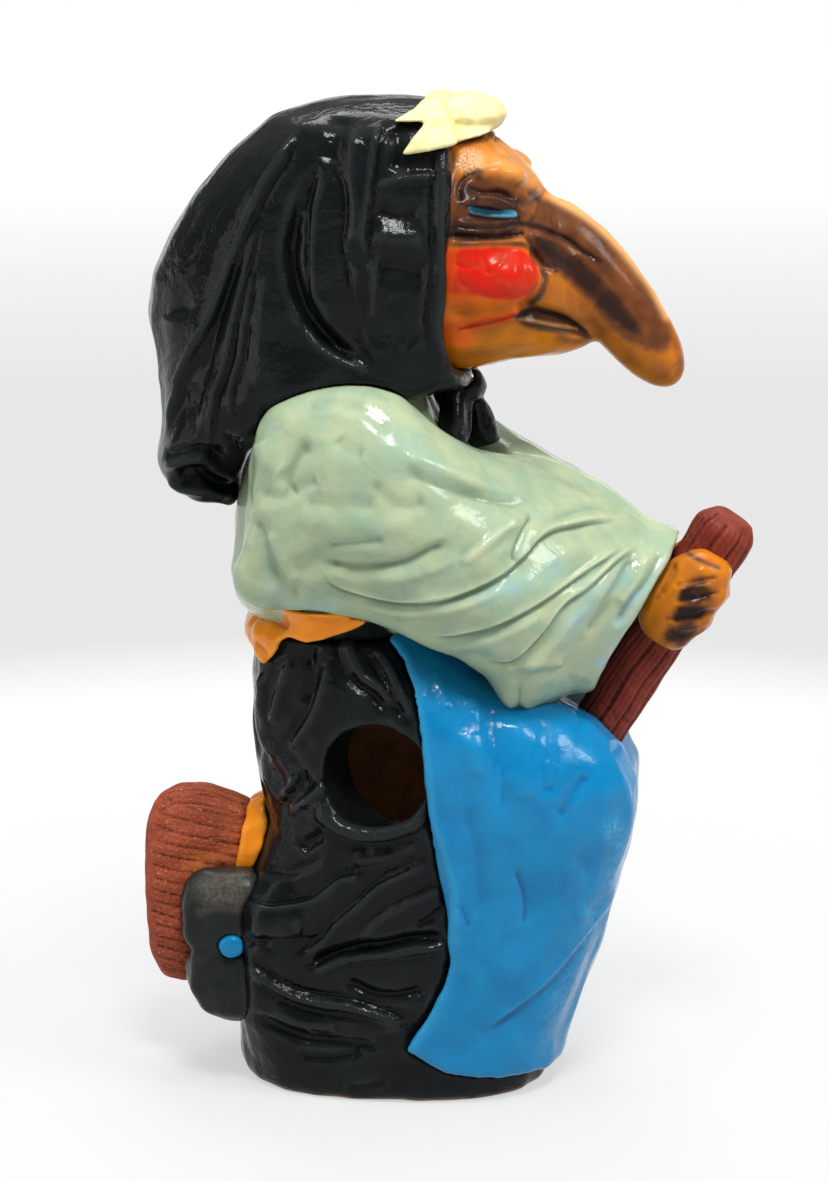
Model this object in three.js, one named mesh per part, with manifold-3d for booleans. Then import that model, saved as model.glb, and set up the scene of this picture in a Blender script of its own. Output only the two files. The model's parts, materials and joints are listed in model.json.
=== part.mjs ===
// A hollow ceramic witch that holds kitchen utensils. She kneels with a broom under her, and the spoons go in
// through a round hole in her right hip. Millimetres, +Z up, she faces +X, origin at the centre of her foot.
import * as THREE from "three";
import { mergeVertices } from "three/addons/utils/BufferGeometryUtils.js";
import Module from "manifold-3d";

const wasm = await Module();
wasm.setup();

// Clay
const WALL = 6; // cast wall of the hollow pieces
const CLEARANCE = 0.3; // seam between two pieces
const APRON_THICKNESS = 2.4;
const SASH_THICKNESS = 2.2;
const HAIR_THICKNESS = 3;

// Skirt
const FOOT_LENGTH = 84;
const FOOT_WIDTH = 62;
const FOOT_ROUND = 2;
const HIP_WIDTH = 72;
const HIP_HEIGHT = 90;
const HIP_BACK = 37.5;
const TUCK_HEIGHT = 71; // the skirt is drawn in behind, under the hips
const TUCK_BACK = 34.5;
const KNEE_REACH = 61;
const KNEE_HEIGHT = 84;
const KNEE_SPREAD = 22; // each knee from the middle of the figure
const KNEE_BULGE = 4.5;
const CALF_SPREAD = 25; // each calf, which fills out the back of the skirt
const CALF_BULGE = 6;
const WAIST_HEIGHT = 124;
const WAIST_BACK = 36.5;
const WAIST_FRONT = 10;
const WAIST_WIDTH = 60;

// Utensil hole
const HOLE_DIAMETER = 28;
const HOLE_X = -3;
const HOLE_TURN = 12; // degrees that its axis leans towards her back

// Apron
const APRON_EDGE = 11; // its side edge ahead of the middle of the hip
const APRON_HEM_HEIGHT = 6;

// Blouse and sleeves
const TORSO_HEIGHT = 66; // waist to neck
const BLOUSE_WIDTH = 76;
const HUMP_BACK = 43;
const CHEST_FRONT = 29;
const SLEEVE_SPREAD = 31; // middle of the upper arm from the middle of the figure
const SLEEVE_WIDTH = 36;
const ELBOW_SPREAD = 45; // elbows and cuffs from the middle, where the two sleeves meet
const CUFF_SPREAD = 21;

// Broom and hands
const STICK_DIAMETER = 14.6;
const STICK_LENGTH = 66;
const STICK_LEAN = 31; // degrees from upright
const GRIP_ALONG = 43; // middle of the hands, along the stick from the lap
const HAND_LENGTH = 27;
const HAND_REACH = 10;
const HAND_WIDTH = 19;
const FINGERS = 4;
const BRUSH_LENGTH = 29.5; // behind the hips
const BRUSH_HEIGHT = 55;
const BRUSH_MIDDLE = 49;
const BRUSH_WIDTH = 28;
const BRUSH_GROOVES = 15;
const BINDING_WIDTH = 25;
const BINDING_LENGTH = 6;

// Feet
const SHOE_LENGTH = 14; // behind the skirt
const SHOE_HEIGHT = 40.5;
const SHOE_MIDDLE = 38;
const SHOE_WIDTH = 17;
const SHOE_SPREAD = 17;
const SOCK_RADIUS = 3.2;

// Head
const FACE_X = 14;
const HEAD_WIDTH = 56;
const HEAD_HEIGHT = 64; // chin to crown
const NOSE_LENGTH = 60; // ahead of the middle of the face
const NOSE_DROP = 3; // tip below the chin
const NOSE_WIDTH = 20;
const CHEEK_RADIUS = 10;
const EYE_LENGTH = 13;
const TUFT_WIDTH = 32; // raised middle of the hair

// Headscarf
const SCARF_RISE = 6; // top above the crown
const SCARF_BACK = 65;
const SCARF_WIDTH = 69;
const SCARF_RIM = 15; // its front edge
const SCARF_DROP = 32; // hem below the neck
const KNOT_WIDTH = 18;

const neckZ = WAIST_HEIGHT + TORSO_HEIGHT;
const crownZ = neckZ + HEAD_HEIGHT;
const scarfTop = crownZ + SCARF_RISE;

// One cross-section of a skin: two rail points [x, z], the half width in Y and the middle in Y.
const section = (a, b, half, y = 0) => ({ a, b, half, y });

const spline = (points) =>
  new THREE.CatmullRomCurve3(points.map(([x, z]) => new THREE.Vector3(x, 0, z)), false, "centripetal");

const curved = (points, steps) => spline(points).getPoints(steps).map((p) => [p.x, p.z]);

const moved = ([x, z], points) => points.map(([dx, dz]) => [x + dx, z + dz]);

// Catmull-Rom value between p1 and p2.
function between(p0, p1, p2, p3, u) {
  const bend = (p2 - p0) * u + (2 * p0 - 5 * p1 + 4 * p2 - p3) * u * u + (3 * p1 - p0 - 3 * p2 + p3) * u ** 3;
  return p1 + 0.5 * bend;
}

// Cloth relief: the surface rises or sinks along each fold's path in the side view.
function folds(anchor, list) {
  const lines = list.map(([path, width, depth]) => ({
    points: spline(moved(anchor, path)).getPoints(5 * path.length),
    width,
    depth,
  }));
  return (p) =>
    lines.reduce((sum, { points, width, depth }) => {
      const distance = Math.min(...points.map((q) => Math.hypot(p.x - q.x, p.z - q.z)));
      return sum + depth * Math.exp(-((distance / width) ** 2));
    }, 0);
}

// Turns the faces of a closed indexed geometry outwards.
function outward(geometry) {
  const position = geometry.getAttribute("position");
  const corner = (k) => new THREE.Vector3().fromBufferAttribute(position, k);
  const faces = geometry.index.array;
  let volume = 0;
  for (let i = 0; i < faces.length; i += 3) {
    volume += corner(faces[i]).dot(corner(faces[i + 1]).cross(corner(faces[i + 2])));
  }
  if (volume < 0) faces.reverse();
  return geometry;
}

// A closed three.js geometry as a solid that can be joined and cut.
function solid(geometry) {
  const bare = new THREE.BufferGeometry().setAttribute("position", geometry.getAttribute("position"));
  if (geometry.index) bare.setIndex(geometry.index);
  const merged = outward(mergeVertices(bare, 1e-4));
  return new wasm.Manifold(
    new wasm.Mesh({
      numProp: 3,
      vertProperties: new Float32Array(merged.getAttribute("position").array),
      triVerts: new Uint32Array(merged.index.array),
    }),
  );
}

// A closed skin through cross-sections, each a superellipse between its two rails. Relief and grow move it
// along its own normals, so a skin can be made again a little larger (a seam) or smaller (a hollow).
// Round moves the points of each section closer together where the folds are.
function skin(sections, options = {}) {
  const { sides = 20, steps = 14, square = 2.2, relief = () => 0, round = (turn) => turn } = options;
  const { grow = 0, from = 0, to = 1 } = options;
  const last = sections.length - 1;
  const railA = spline(sections.map((s) => s.a));
  const railB = spline(sections.map((s) => s.b));
  const value = (key, t) => {
    const k = Math.min(last - 1, Math.floor(t * last));
    const at = (i) => sections[Math.max(0, Math.min(last, i))][key];
    return between(at(k - 1), at(k), at(k + 1), at(k + 2), t * last - k);
  };
  const swell = (v) => Math.sign(v) * Math.abs(v) ** (2 / square);
  const points = [];
  for (let i = 0; i <= steps; i++) {
    const along = from + ((to - from) * i) / steps;
    const [a, b] = [railA.getPoint(along), railB.getPoint(along)];
    for (let j = 0; j < sides; j++) {
      const angle = round((2 * Math.PI * j) / sides);
      const p = b.clone().lerp(a, 0.5 + 0.5 * swell(Math.cos(angle)));
      p.y = value("y", along) + value("half", along) * swell(Math.sin(angle));
      points.push(Object.assign(p, { angle, along }));
    }
  }
  const ends = [0, steps * sides].map((start) => {
    const ring = points.slice(start, start + sides);
    return ring.reduce((sum, p) => sum.add(p), new THREE.Vector3()).divideScalar(sides);
  });
  points.push(...ends);
  const faces = [];
  for (let j = 0; j < sides; j++) {
    const k = (j + 1) % sides;
    for (let row = 0; row < steps * sides; row += sides) {
      const [p, q, r, s] = [row + j, row + k, row + sides + j, row + sides + k];
      if (2 * j < sides) faces.push(p, r, q, q, r, s);
      else faces.push(p, r, s, p, s, q);
    }
    faces.push(points.length - 2, j, k, points.length - 1, steps * sides + k, steps * sides + j);
  }
  const geometry = outward(new THREE.BufferGeometry().setFromPoints(points).setIndex(faces));
  geometry.computeVertexNormals();
  const normal = geometry.getAttribute("normal");
  const pushed = points.map((p, k) => {
    const onEnd = k < sides || k >= steps * sides;
    const n = new THREE.Vector3().fromBufferAttribute(normal, k);
    return p.clone().addScaledVector(n, grow + (onEnd ? 0 : relief(p)));
  });
  geometry.setFromPoints(pushed);
  return solid(geometry);
}

const ellipsoid = ([x, y, z], [rx, ry, rz]) =>
  solid(new THREE.SphereGeometry(1, 10, 6).rotateX(Math.PI / 2).scale(rx, ry, rz).translate(x, y, z));

// A slab over a side-view outline, as wide as the whole figure.
function slab(outline) {
  const shape = new THREE.Shape(outline.map(([x, z]) => new THREE.Vector2(x, z)));
  const depth = 2 * HIP_WIDTH;
  const geometry = new THREE.ExtrudeGeometry(shape, { depth, bevelEnabled: false });
  return solid(geometry.rotateX(Math.PI / 2).translate(0, depth / 2, 0));
}

// The surface of a solid as a three.js geometry.
function surface(body) {
  const { vertProperties, triVerts } = body.getMesh();
  const geometry = new THREE.BufferGeometry();
  geometry.setAttribute("position", new THREE.BufferAttribute(vertProperties.slice(), 3));
  geometry.setIndex(new THREE.BufferAttribute(triVerts.slice(), 1));
  return geometry;
}

const mirrored = (body) => solid(surface(body).scale(1, -1, 1));

// The body that is left when a piece is cut by its neighbours, without the slivers beside it.
function cutBy(body, ...cutters) {
  const left = cutters.reduce((rest, cutter) => rest.subtract(cutter), body);
  return left.decompose().reduce((best, piece) => (piece.volume() > best.volume() ? piece : best));
}

// Skirt
const foot = FOOT_LENGTH / 2;
const skirtSections = [
  section([-foot + FOOT_ROUND, 0], [foot - FOOT_ROUND, 0], FOOT_WIDTH / 2 - FOOT_ROUND),
  section([-foot, 3], [foot - 0.5, 3], FOOT_WIDTH / 2),
  section([-foot - 0.5, 18], [foot + 3.2, 18], FOOT_WIDTH / 2 + 1),
  section([-foot, 38], [KNEE_REACH - 8.5, 38], FOOT_WIDTH / 2 + 2),
  section([-foot + 1.5, TUCK_HEIGHT - 16], [KNEE_REACH - 3, KNEE_HEIGHT - 28], HIP_WIDTH / 2 - 3),
  section([-TUCK_BACK, TUCK_HEIGHT], [KNEE_REACH - 0.5, KNEE_HEIGHT - 13], HIP_WIDTH / 2 - 1),
  section([-HIP_BACK, HIP_HEIGHT - 3], [KNEE_REACH, KNEE_HEIGHT], HIP_WIDTH / 2),
  section([-HIP_BACK - 0.5, HIP_HEIGHT + 12], [KNEE_REACH - 6, KNEE_HEIGHT + 11], HIP_WIDTH / 2 - 0.5),
  section([-HIP_BACK, WAIST_HEIGHT - 11], [KNEE_REACH - 25, WAIST_HEIGHT - 17], HIP_WIDTH / 2 - 2),
  section([-WAIST_BACK, WAIST_HEIGHT], [WAIST_FRONT, WAIST_HEIGHT], WAIST_WIDTH / 2),
];
const skirtFolds = folds([0, 0], [
  [[[-17, 126], [-20, 115], [-25, 102], [-27, 95]], 3.6, -1.8],
  [[[-32, 118], [-32, 107], [-29, 98]], 3.4, 1.2],
  [[[-9, 124], [-6, 117], [3, 109]], 3.4, 1.2],
  [[[-32, 91], [-27, 83], [-23, 88], [-21, 92]], 3.4, -1.4],
  [[[-18, 84], [-13, 77], [-7, 75], [1, 75], [10, 81]], 3.2, 1.6],
  [[[-34, 65], [-27, 64], [-21, 66], [-14, 70], [2, 69]], 3.4, -1.4],
  [[[-38, 57], [-26, 56], [-15, 61], [-5, 66]], 3.6, -2],
  [[[-38, 51], [-26, 50], [-13, 55], [-4, 60]], 3.4, 1],
  [[[-23, 41], [-13, 51], [-2, 62], [12, 69]], 3.4, -1.8],
  [[[-21, 38], [-7, 44], [8, 47], [19, 48]], 3.4, -2.2],
  [[[-11, 36], [-4, 32], [3, 31], [12, 34]], 3.4, -1.5],
  [[[-38, 40], [-25, 32], [-9, 29], [7, 25]], 3, 1.5],
  [[[-38, 35], [-25, 26], [-9, 23], [6, 20]], 3.4, -2],
  [[[-38, 25], [-26, 19], [-14, 16], [2, 15]], 3.4, -1.5],
]);
const knees = (p) => {
  const ahead = THREE.MathUtils.smoothstep(p.x, KNEE_REACH - 45, KNEE_REACH - 12);
  const near = Math.exp(-(((p.z - KNEE_HEIGHT) / 22) ** 2));
  const across = Math.exp(-(((Math.abs(p.y) - KNEE_SPREAD) / 11) ** 2)) - 0.5 * Math.exp(-((p.y / 9) ** 2));
  return KNEE_BULGE * ahead * near * across;
};
const calves = (p) => {
  const behind = 1 - THREE.MathUtils.smoothstep(p.x, -HIP_BACK + 4, -HIP_BACK + 22);
  const below = THREE.MathUtils.smoothstep(p.z, 4, 26) - THREE.MathUtils.smoothstep(p.z, 52, TUCK_HEIGHT - 2);
  return CALF_BULGE * behind * below * Math.exp(-(((Math.abs(p.y) - CALF_SPREAD) / 9) ** 2));
};
const apronFolds = folds([KNEE_REACH, KNEE_HEIGHT], [
  [[[-46, 36], [-34, 20], [-26, -4], [-27, -28]], 6, -1.2],
  [[[-22, 20], [-12, 4], [-10, -14]], 6, -1.2],
  [[[-3, -28], [-14, -42], [-26, -54], [-41, -66]], 4.5, -1.2],
  [[[-40, 14], [-36, -14], [-38, -34]], 5, 1.2],
]);
const skirtRelief = (p) => knees(p) + calves(p) + skirtFolds(p);
const besideHips = (turn) => turn - 0.25 * Math.sin(turn) + 0.18 * Math.sin(2 * turn);
const skirtSkin = (grow) =>
  skin(skirtSections, { sides: 34, steps: 22, square: 2.5, relief: skirtRelief, round: besideHips, grow });
const apronRelief = (p) => knees(p) + apronFolds(p);
const apronSkin = (grow) =>
  skin(skirtSections, { sides: 28, steps: 15, square: 2.5, relief: apronRelief, grow });
const holeBore = solid(
  new THREE.CylinderGeometry(HOLE_DIAMETER / 2, HOLE_DIAMETER / 2, HIP_WIDTH / 2, 24)
    .rotateZ(THREE.MathUtils.degToRad(-HOLE_TURN))
    .translate(HOLE_X, -HIP_WIDTH / 2, HIP_HEIGHT),
);
const floorSlab = slab([[-2 * foot, -WALL], [2 * foot, -WALL], [2 * foot, WALL], [-2 * foot, WALL]]);
const skirtInside = skin(skirtSections, { sides: 18, steps: 9, square: 2.5, grow: -WALL });
const skirtHollow = skirtInside.subtract(floorSlab);
const throatSection = (z) =>
  section([WALL + 3 - WAIST_BACK, z], [WAIST_FRONT - 3, z], WAIST_WIDTH / 2 - WALL - 3);
const throat = skin([throatSection(WAIST_HEIGHT - 16), throatSection(WAIST_HEIGHT + 14)], { steps: 1 });

// Blouse
const blouseSections = [
  section([1 - WAIST_BACK, WAIST_HEIGHT - 4], [WAIST_FRONT, WAIST_HEIGHT - 3], WAIST_WIDTH / 2 - 2),
  section([-WAIST_BACK - 1, WAIST_HEIGHT + 4], [WAIST_FRONT + 3, WAIST_HEIGHT + 2], WAIST_WIDTH / 2 + 1),
  section([2.5 - HUMP_BACK, WAIST_HEIGHT + 10], [CHEST_FRONT - 10, WAIST_HEIGHT + 8], BLOUSE_WIDTH / 2 - 2),
  section([-HUMP_BACK, WAIST_HEIGHT + 21], [CHEST_FRONT - 3, WAIST_HEIGHT + 18], BLOUSE_WIDTH / 2),
  section([1 - HUMP_BACK, neckZ - 34], [CHEST_FRONT, neckZ - 36], BLOUSE_WIDTH / 2),
  section([4 - HUMP_BACK, neckZ - 22], [CHEST_FRONT - 5, neckZ - 26], BLOUSE_WIDTH / 2 - 1),
  section([10 - HUMP_BACK, neckZ - 11], [CHEST_FRONT - 15, neckZ - 16], BLOUSE_WIDTH / 2 - 4),
  section([20 - HUMP_BACK, neckZ - 4], [CHEST_FRONT - 20, neckZ - 7], BLOUSE_WIDTH / 2 - 11),
  section([30 - HUMP_BACK, neckZ], [CHEST_FRONT - 24, neckZ - 1], BLOUSE_WIDTH / 2 - 22),
];
const blouseSkin = (grow) => skin(blouseSections, { sides: 18, steps: 9, grow });
const blouseHollow = skin(blouseSections, { sides: 14, steps: 5, grow: -WALL, from: 0.1 });

// Broom stick, leaning out of the lap
const lean = THREE.MathUtils.degToRad(STICK_LEAN);
const onStick = (along, across = 0) => [
  KNEE_REACH - 7.5 + along * Math.sin(lean) + across * Math.cos(lean),
  KNEE_HEIGHT + 12 + along * Math.cos(lean) - across * Math.sin(lean),
];
const grip = onStick(GRIP_ALONG);
const stickSkin = (grow) => {
  const ring = (along, radius) => section(onStick(along, radius), onStick(along, -radius), radius);
  const r = STICK_DIAMETER / 2;
  return skin(
    [ring(-10, r), ring(STICK_LENGTH / 2, r), ring(STICK_LENGTH - 4, r), ring(STICK_LENGTH, r - 2)],
    { sides: 16, steps: 6, square: 2, grow },
  );
};

// Her left half, which pieces drawn on her right are kept out of
const otherSide = solid(
  new THREE.BoxGeometry(6 * KNEE_REACH, 2 * BLOUSE_WIDTH, 2 * scarfTop).translate(
    0,
    BLOUSE_WIDTH - CLEARANCE / 2,
    scarfTop,
  ),
);

// Sleeves, drawn on her right, that meet in the middle like a shawl
const shoulder = (dx, dz) => [dx, neckZ + dz];
const cuff = (dx, dz) => [grip[0] + dx, grip[1] + dz];
const sleeveSections = [
  section(shoulder(-34, -18), shoulder(-36, -42), SLEEVE_WIDTH / 2 - 13, 2 - SLEEVE_SPREAD),
  section(shoulder(-30, -6), shoulder(-36, -52), SLEEVE_WIDTH / 2 - 7, -SLEEVE_SPREAD),
  section(shoulder(-18, 0), shoulder(-25, -57), SLEEVE_WIDTH / 2 - 3, -SLEEVE_SPREAD),
  section(shoulder(0, 0), shoulder(-6, -59), SLEEVE_WIDTH / 2 - 1, -SLEEVE_SPREAD),
  section(shoulder(12, -9), shoulder(8, -64.5), SLEEVE_WIDTH / 2, -SLEEVE_SPREAD),
  section(shoulder(24, -18), shoulder(20, -72), SLEEVE_WIDTH / 2 + 6, 8 - SLEEVE_SPREAD),
  section(shoulder(39, -24), shoulder(32, -82), ELBOW_SPREAD - 3, -3),
  section(cuff(-18, 26), cuff(-34, -25), CUFF_SPREAD + 13, 0),
  section(cuff(-2, 16), cuff(-25, -23.5), CUFF_SPREAD, 0),
];
const sleeveFolds = folds([0, neckZ], [
  [[[-34, -20], [-30, -24], [-23, -25], [-20, -14], [-15, -11]], 3.4, -1.6],
  [[[-34, -30], [-32, -38], [-30, -45], [-24, -50], [-16, -53]], 3.4, -1.7],
  [[[1, -14], [11, -18], [26, -22], [42, -25]], 3.6, 1.2],
  [[[5, -19], [15, -24], [25, -26], [40, -29]], 3.6, -1],
  [[[-17, -39], [-11, -42], [6, -43], [15, -40], [22, -37]], 3.4, -1.4],
  [[[-14, -42], [-8, -48], [3, -51], [16, -48], [33, -43], [52, -35], [66, -30]], 3.4, -2],
  [[[-6, -50], [4, -56], [20, -58], [28, -56], [37, -51], [54, -41], [68, -37]], 3.2, -1.8],
  [[[20, -67], [28, -67], [35, -64], [42, -58], [47, -50], [52, -44], [60, -38]], 3.4, -2],
  [[[49, -70], [55, -61], [60, -52], [63, -45], [69, -39]], 3.2, -1.5],
  [[[18, -42], [25, -38], [30, -33], [36, -29]], 3.2, 1.3],
]);
const onHerRight = (turn) => turn - 0.35 * Math.cos(turn);
const sleeveSkin = (grow) =>
  skin(sleeveSections, { sides: 20, steps: 20, relief: sleeveFolds, round: onHerRight, grow });

// Hands round the stick
const handSkin = (grow) => {
  const ring = (share, front, back, width) => {
    const along = GRIP_ALONG + (share - 0.5) * HAND_LENGTH;
    const [a, b] = [onStick(along, front * HAND_REACH), onStick(along, -back * HAND_REACH)];
    return section(a, b, 0.55 * width * HAND_WIDTH, -0.45 * HAND_WIDTH);
  };
  const knuckles = (p) => -1.2 * Math.cos(Math.PI * FINGERS * p.along) ** 8 * Math.max(0, Math.cos(p.angle));
  return skin(
    [
      ring(0, 0.45, 0.5, 0.45),
      ring(0.15, 0.8, 0.9, 0.8),
      ring(0.4, 0.95, 1.05, 1),
      ring(0.7, 0.95, 0.9, 0.95),
      ring(0.92, 0.75, 0.55, 0.75),
      ring(1, 0.4, 0.25, 0.4),
    ],
    { sides: 10, steps: 8, relief: knuckles, grow },
  );
};

// Broom brush and its binding
const brushTop = BRUSH_MIDDLE + BRUSH_HEIGHT / 2;
const brushFoot = BRUSH_MIDDLE - BRUSH_HEIGHT / 2;
const brushEnd = -HIP_BACK - BRUSH_LENGTH;
const bristles = (p) => -0.9 * Math.cos((BRUSH_GROOVES * p.angle) / 2) ** 6;
const brushSkin = (grow) =>
  skin(
    [
      section([-HIP_BACK + 12, brushTop - 7], [-HIP_BACK + 12, BRUSH_MIDDLE - 2], BINDING_WIDTH / 2 - 3),
      section([-HIP_BACK - 3, brushTop - 3.5], [-HIP_BACK - 3, BRUSH_MIDDLE - 4], BINDING_WIDTH / 2 - 2),
      section([brushEnd + 15, brushTop + 0.5], [brushEnd + 17, brushFoot + 5], BRUSH_WIDTH / 2 - 2),
      section([brushEnd + 8, brushTop], [brushEnd + 10, brushFoot], BRUSH_WIDTH / 2),
      section([brushEnd + 2.5, brushTop - 3], [brushEnd + 4, brushFoot + 1.5], BRUSH_WIDTH / 2 - 1),
      section([brushEnd, brushTop - 9], [brushEnd + 1, brushFoot + 7], BRUSH_WIDTH / 2 - 4),
    ],
    { sides: 3 * BRUSH_GROOVES, steps: 5, relief: bristles, grow },
  );
const bindingEnd = -HIP_BACK - BINDING_LENGTH;
const bindingSkin = (grow) =>
  skin(
    [
      section([14 - HIP_BACK, brushTop - 2], [16 - HIP_BACK, BRUSH_MIDDLE - 2], BINDING_WIDTH / 2),
      section([2 - HIP_BACK, brushTop - 1], [2 - HIP_BACK, BRUSH_MIDDLE - 1], BINDING_WIDTH / 2 + 1),
      section([bindingEnd + 4, brushTop - 3], [bindingEnd, BRUSH_MIDDLE], BINDING_WIDTH / 2),
    ],
    { sides: 18, steps: 4, grow },
  );

// Feet, drawn on her right, soles to the back
const shoeSkin = (grow) => {
  const row = (back, up, narrow) => {
    const z = SHOE_MIDDLE + up * SHOE_HEIGHT;
    return section([-foot - SHOE_LENGTH + back, z], [14 - foot, z], SHOE_WIDTH / 2 - narrow, -SHOE_SPREAD);
  };
  return skin(
    [
      row(5.5, 0.5, 5),
      row(1.5, 0.44, 2),
      row(0, 0.3, 0.5),
      row(-0.2, 0.09, 0.5),
      row(2.6, -0.01, 1.5),
      row(1.2, -0.11, 0.5),
      row(1.6, -0.27, -0.5),
      row(5, -0.42, 1),
      row(11, -0.5, 5),
    ],
    { sides: 10, steps: 8, square: 2.6, grow },
  );
};
const sockSkin = (grow) => {
  const r = SOCK_RADIUS + grow;
  return ellipsoid([0.5 - foot, 2.5 - SHOE_SPREAD - SHOE_WIDTH / 2, SHOE_MIDDLE + 2], [1.2 * r, 1.3 * r, r]);
};

// Head: skull, long nose, brows and cheeks
const face = (dx, fromCrown) => [FACE_X + dx, crownZ + fromCrown];
const jaw = (dx, fromChin) => [FACE_X + dx, neckZ + fromChin];
const tip = (dx, dz) => [FACE_X + NOSE_LENGTH + dx, neckZ - NOSE_DROP + dz];
const skullSections = [
  section(face(-36, -16), jaw(-36, 16), HEAD_WIDTH / 2 - 13),
  section(face(-24, -5), jaw(-26, 4), HEAD_WIDTH / 2 - 4),
  section(face(-11, -0.5), jaw(-12, -2), HEAD_WIDTH / 2 - 0.5),
  section(face(0, 0), jaw(0, -0.5), HEAD_WIDTH / 2),
  section(face(9, -2.5), jaw(10, 1.5), HEAD_WIDTH / 2 - 1),
  section(face(16, -8), jaw(19, 3.5), HEAD_WIDTH / 2 - 4),
  section(face(22.5, -15), jaw(26, 4), HEAD_WIDTH / 2 - 9),
  section(face(28, -25), jaw(32.5, 5.5), HEAD_WIDTH / 2 - 16),
  section(face(31, -32), jaw(36.5, 6.5), HEAD_WIDTH / 2 - 21),
];
const noseSections = [
  section(face(16, -12), jaw(20, 22), NOSE_WIDTH / 2 - 1),
  section(face(23.5, -18), jaw(26, 17), NOSE_WIDTH / 2 - 0.5),
  section(tip(-27, 45), tip(-28, 15.5), NOSE_WIDTH / 2),
  section(tip(-18, 37), tip(-21, 9.5), NOSE_WIDTH / 2 - 0.5),
  section(tip(-10.5, 27.5), tip(-15, 3.8), NOSE_WIDTH / 2 - 1.4),
  section(tip(-5, 19), tip(-9.5, 0.2), NOSE_WIDTH / 2 - 2.6),
  section(tip(-1.4, 12), tip(-5, -1), NOSE_WIDTH / 2 - 4.2),
  section(tip(0, 6), tip(-2.5, 0), NOSE_WIDTH / 2 - 6.6),
  section(tip(-0.2, 3.5), tip(-1.2, 1.3), NOSE_WIDTH / 2 - 9),
];
const faceSide = HEAD_WIDTH / 2 - 7;
const eye = face(12, -21.5);
const bumps = ([x, z], y, radii, grow = 0) =>
  [-y, y].map((side) => ellipsoid([x, side, z], radii.map((r) => r + grow)));
const headSkin = (grow) =>
  [
    skin(noseSections, { sides: 12, steps: 9, grow }),
    ...bumps(face(11, -13.5), faceSide - 8, [9, 10, 5.5], grow),
    ...bumps([eye[0], eye[1] - 6], faceSide - 1, [0.65 * EYE_LENGTH, 6, 3.5], grow),
    ...bumps(jaw(11.5, 25), faceSide, [CHEEK_RADIUS + 5, CHEEK_RADIUS - 2.5, CHEEK_RADIUS], grow),
  ].reduce((all, part) => all.add(part), skin(skullSections, { sides: 16, steps: 10, square: 2.3, grow }));
const faceCuts = [
  ...bumps(eye, faceSide + 5, [EYE_LENGTH / 2, 4.5, 2]),
  ...bumps(jaw(27, 11.5), 13, [10, 9, 1.6]),
];
const maskBack = FACE_X - 20;
const behindMask = slab([[-SCARF_BACK, 0], [maskBack, 0], [maskBack, scarfTop], [-SCARF_BACK, scarfTop]]);
const skullHollow = skin(skullSections, { sides: 12, steps: 5, grow: -WALL, to: 0.75 });

// Headscarf, open at the face
const scarf = (dx, dz) => [dx, scarfTop + dz];
const scarfFront = SCARF_RIM + 25;
const scarfHem = neckZ - SCARF_DROP;
const scarfSections = [
  section(scarf(0, -0.2), scarf(8, -0.6), 5),
  section(scarf(-14, -0.5), scarf(SCARF_RIM + 5, -4), 20),
  section(scarf(-32, -5), scarf(scarfFront - 7, -13), SCARF_WIDTH / 2 - 5),
  section(scarf(18 - SCARF_BACK, -19), scarf(scarfFront, -26), SCARF_WIDTH / 2 - 1),
  section(scarf(6 - SCARF_BACK, -34), scarf(scarfFront, -41), SCARF_WIDTH / 2),
  section(scarf(-SCARF_BACK, -51), scarf(scarfFront, -54), SCARF_WIDTH / 2),
  section(scarf(1.5 - SCARF_BACK, -66), [scarfFront - 4, neckZ + 3], SCARF_WIDTH / 2),
  section(scarf(3 - SCARF_BACK, -79), [SCARF_RIM - 2, neckZ - 4], SCARF_WIDTH / 2 + 1),
  section([3 - SCARF_BACK, scarfHem + 15], [22 - HUMP_BACK, neckZ - 10], SCARF_WIDTH / 2 - 3),
  section([3 - SCARF_BACK, scarfHem + 8], [2 - HUMP_BACK, scarfHem + 8], SCARF_WIDTH / 2 - 8),
  section([12 - SCARF_BACK, scarfHem], [2 - HUMP_BACK, scarfHem], SCARF_WIDTH / 2 - 12),
];
const rim = [
  ...moved([SCARF_RIM, scarfTop], [[-7, 3], [-3, -5], [0, -11], [1, -23], [0, -37]]),
  ...moved([SCARF_RIM, neckZ], [[-1, 20], [-1, 11], [1, 4], [5, -1], [7, -9]]),
];
const faceOpening = (ahead) => {
  const farAhead = 2 * NOSE_LENGTH;
  return slab([...moved([ahead, 0], curved(rim, 16)), [farAhead, neckZ - 9], [farAhead, scarfTop + 3]]);
};
const scarfFolds = folds([0, scarfTop], [
  [[[-20, -10], [-32, -30], [-44, -60], [-54, -92]], 5, 1.8],
  [[[-30, -38], [-38, -60], [-46, -90]], 4.5, -2.4],
  [[[-22, -46], [-29, -68], [-36, -90]], 4.5, 1.6],
  [[[-17, -20], [-23, -38], [-16, -54], [0, -66]], 4.5, -2.2],
  [[[-2, -16], [-4, -36], [2, -56]], 4.5, -1.4],
  [[[-56, -32], [-58, -60], [-60, -84]], 6, -1.2],
]);
const scarfSkin = (grow) =>
  skin(scarfSections, { sides: 20, steps: 15, relief: scarfFolds, grow }).subtract(faceOpening(grow));
const scarfHollow = skin(scarfSections, { sides: 14, steps: 6, grow: -WALL, from: 0.12, to: 0.7 });

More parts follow.
